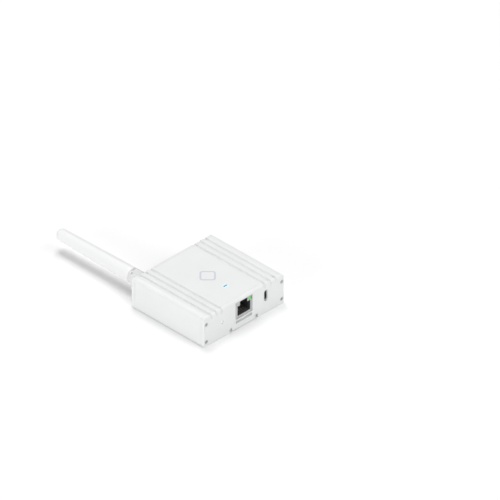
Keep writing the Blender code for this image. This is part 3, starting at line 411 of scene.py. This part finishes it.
def add_rings(bm, rings, cap=True):
    """Joins rings of points into a tube, and closes both ends unless cap is off."""
    made = [[bm.verts.new(point) for point in ring] for ring in rings]
    count = len(made[0])
    for ring, following in zip(made, made[1:]):
        for index in range(count):
            other = (index + 1) % count
            bm.faces.new((ring[index], ring[other], following[other], following[index]))
    if cap:
        bm.faces.new(made[0])
        bm.faces.new(made[-1])


def turned_ring(axis, centre, radius, place, steps):
    """Points round an axis through the centre, at a place along it."""
    ring = []
    for step in range(steps):
        angle = math.tau * step / steps
        offset = along(axis, radius * math.cos(angle), radius * math.sin(angle), place)
        ring.append(Vector(centre) + offset)
    return ring


def add_turned(bm, profile, axis, centre, steps=64):
    """A turned solid. profile lists (radius, place along the axis); its ends are closed flat."""
    add_rings(bm, [turned_ring(axis, centre, radius, place, steps) for radius, place in profile])


def arc(centre, radius, first, last, steps):
    """Points of an arc between two angles in degrees, both ends included."""
    points = []
    for step in range(steps + 1):
        angle = math.radians(first + (last - first) * step / steps)
        points.append((centre[0] + radius * math.cos(angle), centre[1] + radius * math.sin(angle)))
    return points


def circle(centre, radius, steps=48):
    """Outline of a full circle, its first point not repeated."""
    return arc(centre, radius, 0.0, 360.0 * (steps - 1) / steps, steps - 1)


def rounded(centre, width, height, radius, steps=8):
    """Outline of a rectangle with round corners."""
    points = []
    for quarter, (side, up) in enumerate(((1, 1), (-1, 1), (-1, -1), (1, -1))):
        corner = (centre[0] + side * (width / 2 - radius), centre[1] + up * (height / 2 - radius))
        points += arc(corner, radius, 90 * quarter, 90 * quarter + 90, steps)
    return points


# ---------------------------------------------------------------- case

def case_slice(name, first, last):
    """The case's outer block between two places along Y: soft shoulders, rounded front and back edges."""
    bm = bmesh.new()
    stretch = SHOULDER / TOP_ROUND
    add_box(bm, (-HALF_WIDTH / stretch, FRONT, 0.0), (HALF_WIDTH / stretch, BACK, ROOF))
    upper = [edge for edge in bm.edges if all(vert.co.z > ROOF / 2 for vert in edge.verts)]
    bmesh.ops.bevel(bm, geom=upper, offset=TOP_ROUND, segments=12, profile=0.5, affect="EDGES")
    lower = [edge for edge in bm.edges if all(vert.co.z < SAME_PLACE for vert in edge.verts)
             and abs(edge.verts[0].co.x - edge.verts[1].co.x) < SAME_PLACE]
    bmesh.ops.bevel(bm, geom=lower, offset=BOTTOM_ROUND, segments=5, profile=0.5, affect="EDGES")
    bmesh.ops.scale(bm, vec=(stretch, 1.0, 1.0), verts=bm.verts[:])
    for place, side in ((first, -1), (last, 1)):
        if FRONT < place < BACK:
            cut = bmesh.ops.bisect_plane(bm, geom=bm.verts[:] + bm.edges[:] + bm.faces[:],
                                         plane_co=(0, place, 0), plane_no=(0, side, 0),
                                         clear_outer=True)
            rim = [item for item in cut["geom_cut"] if isinstance(item, bmesh.types.BMEdge)]
            bmesh.ops.contextual_create(bm, geom=rim)
    return to_object(name, bm)


def groove_section(depth_share):
    """Across a groove: (sideways, inward) points of a soft trough between two round ribs."""
    outside = -0.6 * MM         # the cutter starts this far outside the surface
    skim = 0.002 * MM           # and its edges lie this deep, so that none is in the surface itself
    outline = [(-GROOVE_HALF, outside)]
    parts = 14
    for part in range(parts + 1):
        share = 2 * part / parts - 1
        fall = 0.5 + 0.5 * math.cos(math.pi * share)
        outline.append((GROOVE_HALF * share, GROOVE_DEPTH * depth_share * fall + skim))
    outline.append((GROOVE_HALF, outside))
    return outline


def groove_stations():
    """(y, z, outward y, outward z, depth share) from the fade on the front over the roof to the back."""
    centre_z = ROOF - TOP_ROUND
    shallowest = 0.02
    at_corner = 0.74            # share of the depth where the groove turns over the front edge
    half = []
    fade_steps = 8
    for step in range(fade_steps):
        share = step / fade_steps
        height = GROOVE_END + (centre_z - GROOVE_END) * share
        ease = math.sqrt(share) * (0.8 + 0.2 * share)
        half.append((FRONT, height, -1.0, 0.0, shallowest + (at_corner - shallowest) * ease))
    arc_steps = 12
    for step in range(arc_steps + 1):
        angle = math.radians(180 - 90 * step / arc_steps)
        out_y = math.cos(angle)
        out_z = math.sin(angle)
        share = at_corner + (1 - at_corner) * step / arc_steps
        half.append((FRONT + TOP_ROUND + TOP_ROUND * out_y, centre_z + TOP_ROUND * out_z,
                     out_y, out_z, share))
    other = [(FRONT + BACK - y, z, -out_y, out_z, share) for y, z, out_y, out_z, share in half[::-1]]
    return half + other


def groove_tool():
    """The cutter of all six grooves, used on the shell and on both end plates."""
    bm = bmesh.new()
    for offset in GROOVE_OFFSETS:
        for side in (-1, 1):
            x = side * (HALF_WIDTH - offset) + GROOVE_SHIFT
            rings = []
            for y, z, out_y, out_z, share in groove_stations():
                ring = []
                for sideways, inward in groove_section(share):
                    ring.append(Vector((x + sideways, y - out_y * inward, z - out_z * inward)))
                rings.append(ring)
            add_rings(bm, rings)
    return to_object("groove_tool", bm)


def housing(grooves):
    """Roof and side walls as one extruded shell."""
    shell = case_slice("roof_and_sides", HOUSING_LOW.y, HOUSING_HIGH.y)
    wall = HALF_WIDTH - SIDE_WALL
    boss = wall - 3.9 * MM              # the screw bosses reach in to here
    low_boss = (1.9 * MM, 5.9 * MM)
    high_boss = 16.1 * MM
    under_ribs = ROOF - 3.4 * MM
    panel = 17.5 * MM                   # half the width of the thinner panel between the ribs
    under_panel = ROOF - 1.8 * MM
    right = [(wall, -MM), (wall, low_boss[0]), (boss, low_boss[0]), (boss, low_boss[1]), (wall, low_boss[1]),
             (wall, high_boss), (boss, high_boss), (boss, under_ribs), (panel, under_ribs),
             (panel, under_panel)]
    hollow = bmesh.new()
    add_prism(hollow, right + [(-x, z) for x, z in right[::-1]], "Y", FRONT - MM, BACK + MM)
    boolean(shell, to_object("hollow", hollow))
    boolean(shell, grooves, keep=True)
    slot = bmesh.new()
    width = GUIDE_HIGH.x - GUIDE_LOW.x + FIT_GAP
    height = GUIDE_HIGH.y - GUIDE_LOW.y + FIT_GAP
    add_prism(slot, rounded(GUIDE_MIDDLE, width, height, 0.25 * MM, 4), "Z", ROOF - 3 * MM, ROOF + MM)
    boolean(shell, to_object("slot", slot))
    soften(shell, 0.06 * MM)
    dress(shell, ROOF_PAINT_WITH_GLOW, "case", "case_paint", "upper_housing")


def screw_centres(kind):
    """(number, middle, low corner, high corner) of the four screws of one kind."""
    for number in range(1, 5):
        low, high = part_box(f"{kind}_screw_{number}")
        yield number, (low + high) / 2, low, high


def end_face(name, node, low, high, grooves, openings, end):
    """One end plate, with its ribs' ends, its openings and the sunk seats of its screws.

    end is -1 for the front and 1 for the rear.
    """
    plate = case_slice(name, low.y, high.y)
    boolean(plate, grooves, keep=True)
    face = low.y if end < 0 else high.y
    inner = high.y if end < 0 else low.y
    kind = "front" if end < 0 else "rear"
    hole = 1.05 * MM
    for _, middle, screw_low, screw_high in screw_centres(kind):
        seat = (screw_high.x - screw_low.x) / 2 + 0.12 * MM
        floor_of_seat = face - end * 1.3 * MM
        profile = [(seat, face + end * MM), (seat, floor_of_seat), (hole, floor_of_seat),
                   (hole, inner - end * MM)]
        add_turned(openings, profile, "Y", (middle.x, 0.0, middle.z), 40)
    boolean(plate, to_object("openings", openings))
    soften(plate, EDGE)
    dress(plate, PAINT, "case", "case_paint", node)


def front_face(grooves):
    """Front plate: openings of the jack, the port and the button, a blind slot, two notches below."""
    cuts = bmesh.new()
    first = FRONT - MM
    last = FRONT_HIGH.y + MM

    gap = 0.25 * MM
    middle = ((SHIELD_LOW.x + SHIELD_HIGH.x) / 2, (SHIELD_LOW.z + SHIELD_HIGH.z) / 2)
    add_prism(cuts, rounded(middle, SHIELD_HIGH.x - SHIELD_LOW.x + 2 * gap,
                            SHIELD_HIGH.z - SHIELD_LOW.z + 2 * gap, 0.4 * MM, 4), "Y", first, last)

    slot_width, slot_height, slot_depth = 15.6 * MM, 2.3 * MM, 2.0 * MM
    add_prism(cuts, rounded((0.0, 5.85 * MM), slot_width, slot_height, 0.5 * MM, 5),
              "Y", first, FRONT + slot_depth)

    port_width = USB_HIGH.x - USB_LOW.x + FIT_GAP
    port_height = USB_HIGH.z - USB_LOW.z + FIT_GAP
    add_prism(cuts, rounded((USB_X, USB_Z), port_width, port_height, port_width / 2 - HAIR, 10),
              "Y", first, last)
    add_prism(cuts, circle((BUTTON_X, BUTTON_Z), 1.38 * MM), "Y", first, last)

    # Both notches are one cut: they are joined by a strip along the bottom edge.
    inner, outer = 10.8 * MM, 13.8 * MM
    side_top, top, corner, strip_top = 2.8 * MM, 3.4 * MM, 0.6 * MM, 0.5 * MM
    shift, notch_depth = 0.45 * MM, 1.7 * MM
    right = [(outer, -MM), (outer, side_top), (outer - corner, top), (inner + corner, top),
             (inner, side_top), (inner, strip_top)]
    left = [(-x, z) for x, z in right[::-1]]
    add_prism(cuts, [(x - shift, z) for x, z in right + left], "Y", first, FRONT + notch_depth)
    end_face("front_face", "front_plate", FRONT_LOW, FRONT_HIGH, grooves, cuts, -1)


def rear_face(grooves):
    """Rear plate with the hole of the antenna's spindle."""
    cuts = bmesh.new()
    add_prism(cuts, circle((AXIS_X, AXIS_Z), 3.2 * MM), "Y", REAR_LOW.y - MM, BACK + MM)
    end_face("rear_face", "rear_plate", REAR_LOW, REAR_HIGH, grooves, cuts, 1)


def status_light():
    """The status light's bar, flush with the roof."""
    bm = bmesh.new()
    width = GUIDE_HIGH.x - GUIDE_LOW.x
    height = GUIDE_HIGH.y - GUIDE_LOW.y
    add_prism(bm, rounded(GUIDE_MIDDLE, width, height, 0.22 * MM, 5), "Z", GUIDE_LOW.z, GUIDE_HIGH.z)
    bar = to_object("status_bar", bm)
    soften(bar, 0.05 * MM)
    dress(bar, LAMP_BLUE, "case", "lamp_blue", "status_light_guide")


def top_mark():
    """Plain printed diamond outline in the middle of the roof."""
    outer = 5.6 * MM            # half the outside of the square, before it is turned on its corner
    line = 1.25 * MM
    turn = Matrix.Rotation(math.radians(45), 4, "Z")
    bm = bmesh.new()
    outside = rounded((0, 0), 2 * outer, 2 * outer, 2.4 * MM, 8)
    inside = rounded((0, 0), 2 * (outer - line), 2 * (outer - line), 1.3 * MM, 8)
    low = ROOF + 0.005 * MM
    high = ROOF + 0.030 * MM
    rings = []
    for outline, height in ((inside, low), (outside, low), (outside, high), (inside, high), (inside, low)):
        rings.append([turn @ Vector((x, y, height)) for x, y in outline])
    add_rings(bm, rings, cap=False)
    bmesh.ops.remove_doubles(bm, verts=bm.verts[:], dist=WELD)
    mark = to_object("top_mark", bm)
    dress(mark, TOP_PRINT, "case", "top_print")


# ---------------------------------------------------------------- screws and jack

def lobed_ring(radius, lobe, place, steps=48):
    """A ring round Z with six lobes."""
    ring = []
    for step in range(steps):
        angle = math.tau * step / steps
        reach = radius + lobe * math.cos(6 * angle)
        ring.append(Vector((reach * math.cos(angle), reach * math.sin(angle), place)))
    return ring


def screw_head_mesh(head, depth, shank, length):
    """Low head with a six-lobe socket; its face is at the origin and its shank points to -Z."""
    bm = bmesh.new()
    socket = head * 0.46
    lobe = head * 0.075
    rings = [lobed_ring(socket * 0.97, lobe, -depth * 0.62), lobed_ring(socket, lobe, -depth * 0.08),
             lobed_ring(socket + 0.05 * MM, lobe * 0.8, 0.0)]
    outside = [(head * 0.84, 0.0), (head * 0.94, -0.04 * head), (head, -0.14 * head), (head, -depth),
               (shank, -depth), (shank, -length + shank), (shank * 0.4, -length)]
    for radius, place in outside:
        rings.append(lobed_ring(radius, 0.0, place))
    add_rings(bm, rings)
    bmesh.ops.recalc_face_normals(bm, faces=bm.faces[:])
    mesh = bpy.data.meshes.new("screw")
    bm.to_mesh(mesh)
    bm.free()
    set_shading(mesh, 40)
    mesh.materials.append(SCREW_STEEL)
    return mesh


def screws():
    """Screws of both end plates and of the cover, turned a little differently each."""
    y_axis, z_axis = 1, 2
    shank = 0.8 * MM
    plans = (("front", 90, y_axis), ("rear", -90, y_axis), ("cover", 180, z_axis))
    for kind, tilt, axis in plans:
        facing = Matrix.Rotation(math.radians(tilt), 4, "X")
        for number, middle, low, high in screw_centres(kind):
            head = (high.x - low.x) / 2
            depth = head * 0.66 if axis == y_axis else 0.7 * MM
            length = (high - low)[axis]
            face = {"front": Vector((middle.x, low.y, middle.z)),
                    "rear": Vector((middle.x, high.y, middle.z)),
                    "cover": Vector((middle.x, middle.y, low.z))}[kind]
            mesh = screw_head_mesh(head, depth, shank, length)
            piece = bpy.data.objects.new(f"{kind}_screw_head_{number}", mesh)
            bpy.context.scene.collection.objects.link(piece)
            turn = Matrix.Rotation(0.7 * number, 4, "Z")
            mesh.transform(Matrix.Translation(face) @ facing @ turn)
            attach(piece, "case")
            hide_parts(f"{kind}_screw_{number}")


def mouth_outline(margin=0.0):
    """Plug opening of the network jack, its latch notch on top, grown by the margin."""
    left = MOUTH_LEFT - margin
    right = MOUTH_RIGHT + margin
    latch = LATCH_HALF + margin
    low = MOUTH_LOW - margin
    step = MOUTH_STEP + margin
    top = MOUTH_TOP + margin
    return [(right, low), (right, step), (latch, step), (latch, top),
            (-latch, top), (-latch, step), (left, step), (left, low)]


def lamp_window(side, margin=0.0):
    """Middle, width and height of a lamp's opening. The right one is larger, out and up."""
    low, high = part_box("jack_lamp_right")
    grow = 0.15 * MM + margin
    extra = 0.45 * MM if side > 0 else 0.0
    middle = (side * (low.x + high.x) / 2 + extra / 2, (low.z + high.z) / 2 + extra / 4)
    return middle, high.x - low.x + 2 * grow + extra, high.z - low.z + 2 * grow + extra / 2


def network_jack():
    """Steel can, black moulding, contacts and the two lamps in its upper corners."""
    jack_can()
    jack_moulding()
    for word, finish, slot in (("left", LAMP_GREY, "lamp_off"), ("right", LAMP_GREEN, "lamp_green")):
        low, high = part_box("jack_lamp_" + word)
        window = bmesh.new()
        middle = ((low.x + high.x) / 2, (low.z + high.z) / 2)
        add_prism(window, rounded(middle, high.x - low.x, high.z - low.z, 0.25 * MM, 4), "Y", low.y, high.y)
        guide = to_object("jack_light_" + word, window)
        soften(guide, 0.08 * MM)
        dress(guide, finish, "case", slot, "jack_lamp_" + word)
    contact_wires()


def jack_can():
    """The jack's steel shell, open below, with the plug opening and two lamp windows in its front."""
    sheet = 0.4 * MM
    first = SHIELD_LOW.y - MM
    last = SHIELD_LOW.y + 0.8 * MM
    bm = bmesh.new()
    add_box(bm, SHIELD_LOW, SHIELD_HIGH)
    can = to_object("jack_can", bm)
    hollow = bmesh.new()
    add_box(hollow, SHIELD_LOW + Vector((sheet, sheet, -MM)), SHIELD_HIGH - Vector((sheet, sheet, sheet)))
    boolean(can, to_object("hollow", hollow))
    mouth = bmesh.new()
    add_prism(mouth, mouth_outline(), "Y", first, last)
    for side in (-1, 1):
        middle, width, height = lamp_window(side)
        add_prism(mouth, rounded(middle, width, height, 0.3 * MM, 4), "Y", first, last)
    boolean(can, to_object("mouth", mouth))
    soften(can, 0.08 * MM)
    dress(can, CAN_STEEL, "case", "bright_steel", "jack_shield")


def jack_moulding():
    """The black moulding in the can, with ribs between the contacts on its floor."""
    front = INSERT_LOW.y
    block = bmesh.new()
    add_box(block, INSERT_LOW, INSERT_HIGH)
    body = to_object("jack_moulding", block)
    cuts = bmesh.new()
    add_prism(cuts, mouth_outline(0.02 * MM), "Y", front - MM, front + 12.6 * MM)
    for side in (-1, 1):
        middle, width, height = lamp_window(side, 0.1 * MM)
        add_box(cuts, (middle[0] - width / 2, front - MM, middle[1] - height / 2),
                (middle[0] + width / 2, front + 7 * MM, middle[1] + height / 2))
    boolean(body, to_object("cuts", cuts))
    ribs = bmesh.new()
    half = 0.22 * MM
    low, high = 9.7 * MM, 10.5 * MM
    for number in range(9):
        x = (number - 4) * 1.02 * MM
        add_box(ribs, (x - half, front + 1.2 * MM, low), (x + half, front + 12.8 * MM, high))
    boolean(body, to_object("ribs", ribs), "UNION")
    soften(body, 0.06 * MM, 1)
    dress(body, JACK_PLASTIC, "case", "black_plastic", "jack_insert")


def contact_wires():
    """Eight bent gold wires that rise from the floor of the jack towards its back."""
    rear = CONTACT_HIGH.y - 0.2 * MM
    front = CONTACT_LOW.y
    low = CONTACT_LOW.z + 0.20 * MM
    high = CONTACT_HIGH.z - 0.25 * MM
    span = CONTACT_HIGH.x - CONTACT_LOW.x - 2.0 * MM
    wire_count = 8
    steps = 14
    sides = 8
    radius = 0.17 * MM
    made = bmesh.new()
    for number in range(wire_count):
        x = -span / 2 + span * number / (wire_count - 1)
        path = []
        for step in range(steps + 1):
            share = step / steps
            lift = share * share * (3 - 2 * share)
            path.append(Vector((x, front + (rear - front) * share, low + (high - low) * lift)))
        rings = []
        for index, point in enumerate(path):
            ahead = path[min(index + 1, steps)] - path[max(index - 1, 0)]
            side = Vector((1, 0, 0))
            up = side.cross(ahead).normalized()
            angles = [math.tau * part / sides for part in range(sides)]
            rings.append([point + radius * (side * math.cos(angle) + up * math.sin(angle))
                          for angle in angles])
        add_rings(made, rings)
    wires = to_object("jack_contact_wires", made)
    wires.data.shade_smooth()
    dress(wires, GOLD, "case", "gold_contact", "jack_contacts")


# ---------------------------------------------------------------- USB port and reset button

def usb_port():
    """Upright oval steel sleeve with a rolled lip, and the blade inside it."""
    sheet = 0.3 * MM
    lip_side = 0.64 * MM        # the rolled lip leans in this far from the sides
    lip_end = 1.25 * MM         # and this far from the round ends
    width = USB_HIGH.x - USB_LOW.x
    height = USB_HIGH.z - USB_LOW.z
    rim = width / 2 - HAIR
    front = USB_LOW.y

    def oval(from_side, from_end, radius):
        """The sleeve's outline, drawn in from its flat sides and from its round ends."""
        return rounded((USB_X, USB_Z), width - 2 * from_side, height - 2 * from_end, radius, 12)

    def lip(share):
        """An outline part of the way from the sleeve's outside to the lip's narrowest place."""
        return oval(share * lip_side, share * lip_end, rim - share * lip_side)

    outer = oval(0.0, 0.0, rim)
    inner = oval(sheet, sheet, width / 2 - sheet - HAIR)
    corner = oval(0.12 * MM, 0.12 * MM, rim - 0.12 * MM)
    bm = bmesh.new()
    rings = []
    for outline, y in ((inner, front + 1.2 * MM), (lip(1.0), front + 0.35 * MM),
                       (lip(0.8), front + 0.08 * MM), (lip(0.45), front), (corner, front + 0.02 * MM),
                       (outer, front + 0.14 * MM), (outer, USB_HIGH.y), (inner, USB_HIGH.y),
                       (inner, front + 1.2 * MM)):
        rings.append([Vector((x, y, z)) for x, z in outline])
    add_rings(bm, rings, cap=False)
    bmesh.ops.remove_doubles(bm, verts=bm.verts[:], dist=WELD)
    sleeve = to_object("usb_sleeve", bm)
    set_shading(sleeve.data, 50)
    dress(sleeve, CAN_STEEL, "case", "bright_steel", "usb_shell")

    plug = bmesh.new()
    fit = TONGUE_HIGH.x - TONGUE_LOW.x
    add_prism(plug, rounded((USB_X, USB_Z), fit, TONGUE_HIGH.z - TONGUE_LOW.z, fit / 2 - HAIR, 8),
              "Y", TONGUE_HIGH.y - 1.7 * MM, TONGUE_HIGH.y)
    tongue = to_object("usb_blade", plug)
    blade_width, blade_height = 0.7 * MM, 6.4 * MM
    blade = bmesh.new()
    add_prism(blade, rounded((USB_X, USB_Z), blade_width, blade_height, 0.2 * MM, 4),
              "Y", TONGUE_LOW.y, TONGUE_HIGH.y - 0.8 * MM)
    boolean(tongue, to_object("blade", blade), "UNION")
    soften(tongue, 0.06 * MM)
    dress(tongue, BLACK_PLASTIC, "case", "black_plastic", "usb_tongue")


def reset_button():
    """Small dished cap that sits just inside its hole."""
    radius = 1.2 * MM
    flange = (BUTTON_HIGH.x - BUTTON_LOW.x) / 2
    tip = BUTTON_LOW.y
    heel = BUTTON_HIGH.y
    flange_front = heel - 0.6 * MM
    profile = [(0.15 * MM, tip + 0.16 * MM), (0.45 * MM, tip + 0.13 * MM), (0.75 * MM, tip + 0.05 * MM),
               (0.90 * MM, tip), (radius - 0.12 * MM, tip + 0.02 * MM), (radius - 0.03 * MM, tip + 0.10 * MM),
               (radius, tip + 0.25 * MM), (radius, flange_front), (flange, flange_front), (flange, heel)]
    bm = bmesh.new()
    add_turned(bm, profile, "Y", (BUTTON_X, 0.0, BUTTON_Z), 48)
    cap = to_object("reset_cap", bm)
    set_shading(cap.data, 50)
    dress(cap, BUTTON_PLASTIC, "reset_button", "white_plastic", "reset_button")


# ---------------------------------------------------------------- antenna

def antenna_sheath():
    """Tapering rod with a round tip and a bore for the stem."""
    start = ROD_LOW.y
    tip = ROD_HIGH.y
    base_radius = (ROD_HIGH.x - ROD_LOW.x) / 2
    tip_radius = 4.6 * MM
    dome = 3.2 * MM             # radius of the rounding at the tip
    bore = 3.7 * MM
    profile = [(bore, tip - 8 * MM), (bore, start + 0.1 * MM), (3.8 * MM, start),
               (base_radius - 0.35 * MM, start), (base_radius - 0.10 * MM, start + 0.08 * MM),
               (base_radius - 0.01 * MM, start + 0.35 * MM)]
    length = tip - dome - start
    for step in range(1, 13):
        share = step / 13
        profile.append((base_radius + (tip_radius - base_radius) * share, start + length * share))
    for radius, place in arc((tip_radius - dome, tip - dome), dome, 0, 88, 16):
        profile.append((radius, place))
    bm = bmesh.new()
    add_turned(bm, profile, "Y", (AXIS_X, 0.0, AXIS_Z), 96)
    rod = to_object("antenna_rod_sheath", bm)
    set_shading(rod.data, 50)
    dress(rod, ROD_PLASTIC, "antenna_rod", "white_plastic", "antenna_sheath")


def antenna_stem():
    """Tongue on the hinge pin and the shoulder under the rod, hollowed to follow the ears."""
    shoulder = HINGE_Y + 6.5 * MM
    cheek = HINGE_Y + 5.4 * MM
    plug_start = shoulder + 0.8 * MM
    radius = 5.5 * MM
    plug = 3.3 * MM             # radius of the plug in the rod's bore
    around_ears = 6.42 * MM     # the hollow's radius about the hinge, a little over that of the ears
    trim_height = AXIS_Z + 4.6 * MM     # beside the ears, nothing of the shoulder stands above this
    half = 2.6 * MM             # half the tongue's thickness
    profile = [(radius, cheek), (radius, plug_start), (plug, plug_start), (plug, STEM_HIGH.y)]
    bm = bmesh.new()
    add_turned(bm, profile, "Y", (AXIS_X, 0.0, AXIS_Z), 72)
    stem = to_object("antenna_tongue", bm)
    hollow = bmesh.new()
    add_prism(hollow, circle((HINGE_Y, AXIS_Z), around_ears, 96),
              "X", AXIS_X - BEYOND, AXIS_X + BEYOND)
    boolean(stem, to_object("hollow", hollow))
    trim = bmesh.new()
    add_box(trim, (AXIS_X - BEYOND, HINGE_Y, trim_height), (AXIS_X + BEYOND, shoulder, AXIS_Z + BEYOND))
    boolean(stem, to_object("trim", trim))
    tongue = bmesh.new()
    end = HINGE_Y - STEM_LOW.y
    outline = arc((HINGE_Y, AXIS_Z), end, 90, 270, 32)
    outline += [(shoulder + 0.4 * MM, AXIS_Z - end), (shoulder + 0.4 * MM, AXIS_Z + end)]
    add_prism(tongue, outline, "X", AXIS_X - half, AXIS_X + half)
    boolean(stem, to_object("tongue", tongue), "UNION")
    bore = bmesh.new()
    add_prism(bore, circle((HINGE_Y, AXIS_Z), PIN_BORE, 32), "X", AXIS_X - BEYOND, AXIS_X + BEYOND)
    boolean(stem, to_object("bore", bore))
    soften(stem, 0.15 * MM)
    dress(stem, SHADED_KNUCKLE_PAINT, "antenna_rod", "white_plastic", "antenna_stem")


def antenna_base():
    """Collar that turns on the rear face, and the fork that holds the rod."""
    radius = (BASE_HIGH.x - BASE_LOW.x) / 2
    spindle = 3.0 * MM
    start = BACK + 0.3 * MM
    root = HINGE_Y - 5.0 * MM
    ear = 6.25 * MM             # radius of the fork's round ears
    end = HINGE_Y + ear + MM
    half = 2.8 * MM             # half the gap between the ears
    lead_bore = 1.2 * MM
    profile = [(spindle, BASE_LOW.y), (spindle, start), (radius - 0.45 * MM, start),
               (radius - 0.12 * MM, start + 0.12 * MM), (radius, start + 0.45 * MM), (radius, end)]
    bm = bmesh.new()
    add_turned(bm, profile, "Y", (AXIS_X, 0.0, AXIS_Z), 96)
    collar = to_object("antenna_fork", bm)
    slot = bmesh.new()
    add_box(slot, (AXIS_X - half, root, AXIS_Z - BEYOND), (AXIS_X + half, end + MM, AXIS_Z + BEYOND))
    boolean(collar, to_object("slot", slot))
    reach = 8 * MM
    outline = arc((HINGE_Y, AXIS_Z), ear, 90, -90, 32)
    outline += [(HINGE_Y, AXIS_Z - reach), (end + MM, AXIS_Z - reach), (end + MM, AXIS_Z + reach),
                (HINGE_Y, AXIS_Z + reach)]
    ends = bmesh.new()
    add_prism(ends, outline, "X", AXIS_X - reach, AXIS_X + reach)
    boolean(collar, to_object("ends", ends))
    bores = bmesh.new()
    add_prism(bores, circle((AXIS_X, AXIS_Z), lead_bore, 24), "Y", BASE_LOW.y - MM, root + MM)
    add_prism(bores, circle((HINGE_Y, AXIS_Z), PIN_BORE, 32), "X", AXIS_X - reach, AXIS_X + reach)
    boolean(collar, to_object("bores", bores))
    soften(collar, 0.18 * MM)
    dress(collar, SHADED_KNUCKLE_PAINT, "antenna_swivel", "case_paint", "antenna_base")


# ---------------------------------------------------------------- CAD nodes that stay

def keep_nodes():
    """Pieces whose CAD shape is right: they only get their material."""
    finishes = {
        "bottom_cover": PAINT, "rating_label": LABEL_FILM, "main_board": BOARD, "usb_cradle": BLACK_PLASTIC,
        "reset_switch": CHIP_PLASTIC, "status_lamp": LAMP_GREY, "transformer_core": FERRITE,
        "transformer_winding": WIRE, "storage_capacitor": SLEEVE_FILM, "power_choke": FERRITE,
        "network_transformer": CHIP_PLASTIC, "processor": CHIP_PLASTIC, "radio_shield": CAN_STEEL,
        "lead_plug": GOLD, "antenna_lead": BLACK_PLASTIC, "swivel_washer": SCREW_STEEL,
        "swivel_nut": SCREW_STEEL, "hinge_pin": PALE_STEEL, "antenna_radiator": BRASS,
    }
    for number in range(1, 5):
        finishes[f"board_screw_{number}"] = SCREW_STEEL
    for name, finish in finishes.items():
        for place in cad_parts[name].material_slots:
            place.material = finish


# ---------------------------------------------------------------- floor, light and camera

def floor():
    """Pale, slightly glossy floor, just under the case."""
    bm = bmesh.new()
    bmesh.ops.create_grid(bm, x_segments=1, y_segments=1, size=12.0)
    plane = to_object("floor", bm)
    made, tree, shader = new_material("floor_white")
    cloud = noise(tree, 3.0, 2.0)
    shade = ramp(tree, cloud, [(NOISE_LOW, (0.955, 0.955, 0.955)), (NOISE_HIGH, (0.965, 0.965, 0.965))])
    tree.links.new(shade, shader.inputs["Base Color"])
    shader.inputs["Roughness"].default_value = 0.12
    shader.inputs["IOR"].default_value = 1.8
    plane.data.materials.append(made)
    plane.location.z = -0.02 * MM


def soft_light(name, place, aim, size, power):
    """A round area light that the camera doesn't see."""
    light = bpy.data.lights.new(name, "AREA")
    light.shape = "DISK"
    light.size = size
    light.energy = power
    made = bpy.data.objects.new(name, light)
    bpy.context.scene.collection.objects.link(made)
    made.location = place
    made.rotation_euler = (Vector(aim) - Vector(place)).to_track_quat("-Z", "Y").to_euler()
    made.visible_camera = False


def lights():
    """White surroundings, three soft lights above, one from the left and two from the front."""
    world = bpy.data.worlds.new("studio")
    bpy.context.scene.world = world
    world.use_nodes = True
    sky = world.node_tree.nodes["Background"]
    sky.inputs["Color"].default_value = (1.0, 1.0, 1.0, 1.0)
    sky.inputs["Strength"].default_value = 0.368
    middle = (0.0, 0.0, 0.0)
    soft_light("overhead", (0.0, 0.0, 1.3), middle, 0.55, 0.9)
    soft_light("overhead_back", (0.10, 0.5, 1.2), middle, 0.55, 2.45)
    soft_light("overhead_right", (0.36, 0.40, 1.15), middle, 0.80, 5.6)
    soft_light("left_fill", (-1.5, 0.0, 0.30), (0.0, 0.0, 0.02), 0.9, 14.6)
    soft_light("front_fill", (0.40, -0.95, 0.95), middle, 1.5, 8.3)
    soft_light("front_low", (0.1, -1.2, 0.10), middle, 0.35, 3.1)


def camera():
    """Very long lens from the front left, above: the near-parallel view of a product picture."""
    azimuth = math.radians(45.15)
    elevation = math.radians(34.6)
    lens = 1500.0
    sensor = 36.0
    frame_width = 341.9 * MM                        # width of the picture at the object
    aim_right, aim_up = 28.9, 37.3                  # the picture's middle from the case's, in millimetres
    distance = frame_width * lens / sensor
    right = Vector((math.cos(azimuth), -math.sin(azimuth), 0.0))
    back = Vector((-math.sin(azimuth) * math.cos(elevation), -math.cos(azimuth) * math.cos(elevation),
                   math.sin(elevation)))
    up = back.cross(right)
    aim = right * aim_right * MM + up * aim_up * MM
    data = bpy.data.cameras.new("camera")
    data.lens = lens
    data.sensor_width = sensor
    data.clip_start = 1.0
    data.clip_end = 200.0
    made = bpy.data.objects.new("camera", data)
    bpy.context.scene.collection.objects.link(made)
    made.location = aim + back * distance
    made.rotation_euler = back.to_track_quat("Z", "Y").to_euler()
    bpy.context.scene.camera = made
    bpy.context.scene.view_settings.view_transform = "Standard"


camera()
lights()
floor()
groove_cutter = groove_tool()
housing(groove_cutter)
front_face(groove_cutter)
rear_face(groove_cutter)
bpy.data.objects.remove(groove_cutter, do_unlink=True)
status_light()
top_mark()
screws()
network_jack()
usb_port()
reset_button()
antenna_base()
antenna_stem()
antenna_sheath()
keep_nodes()
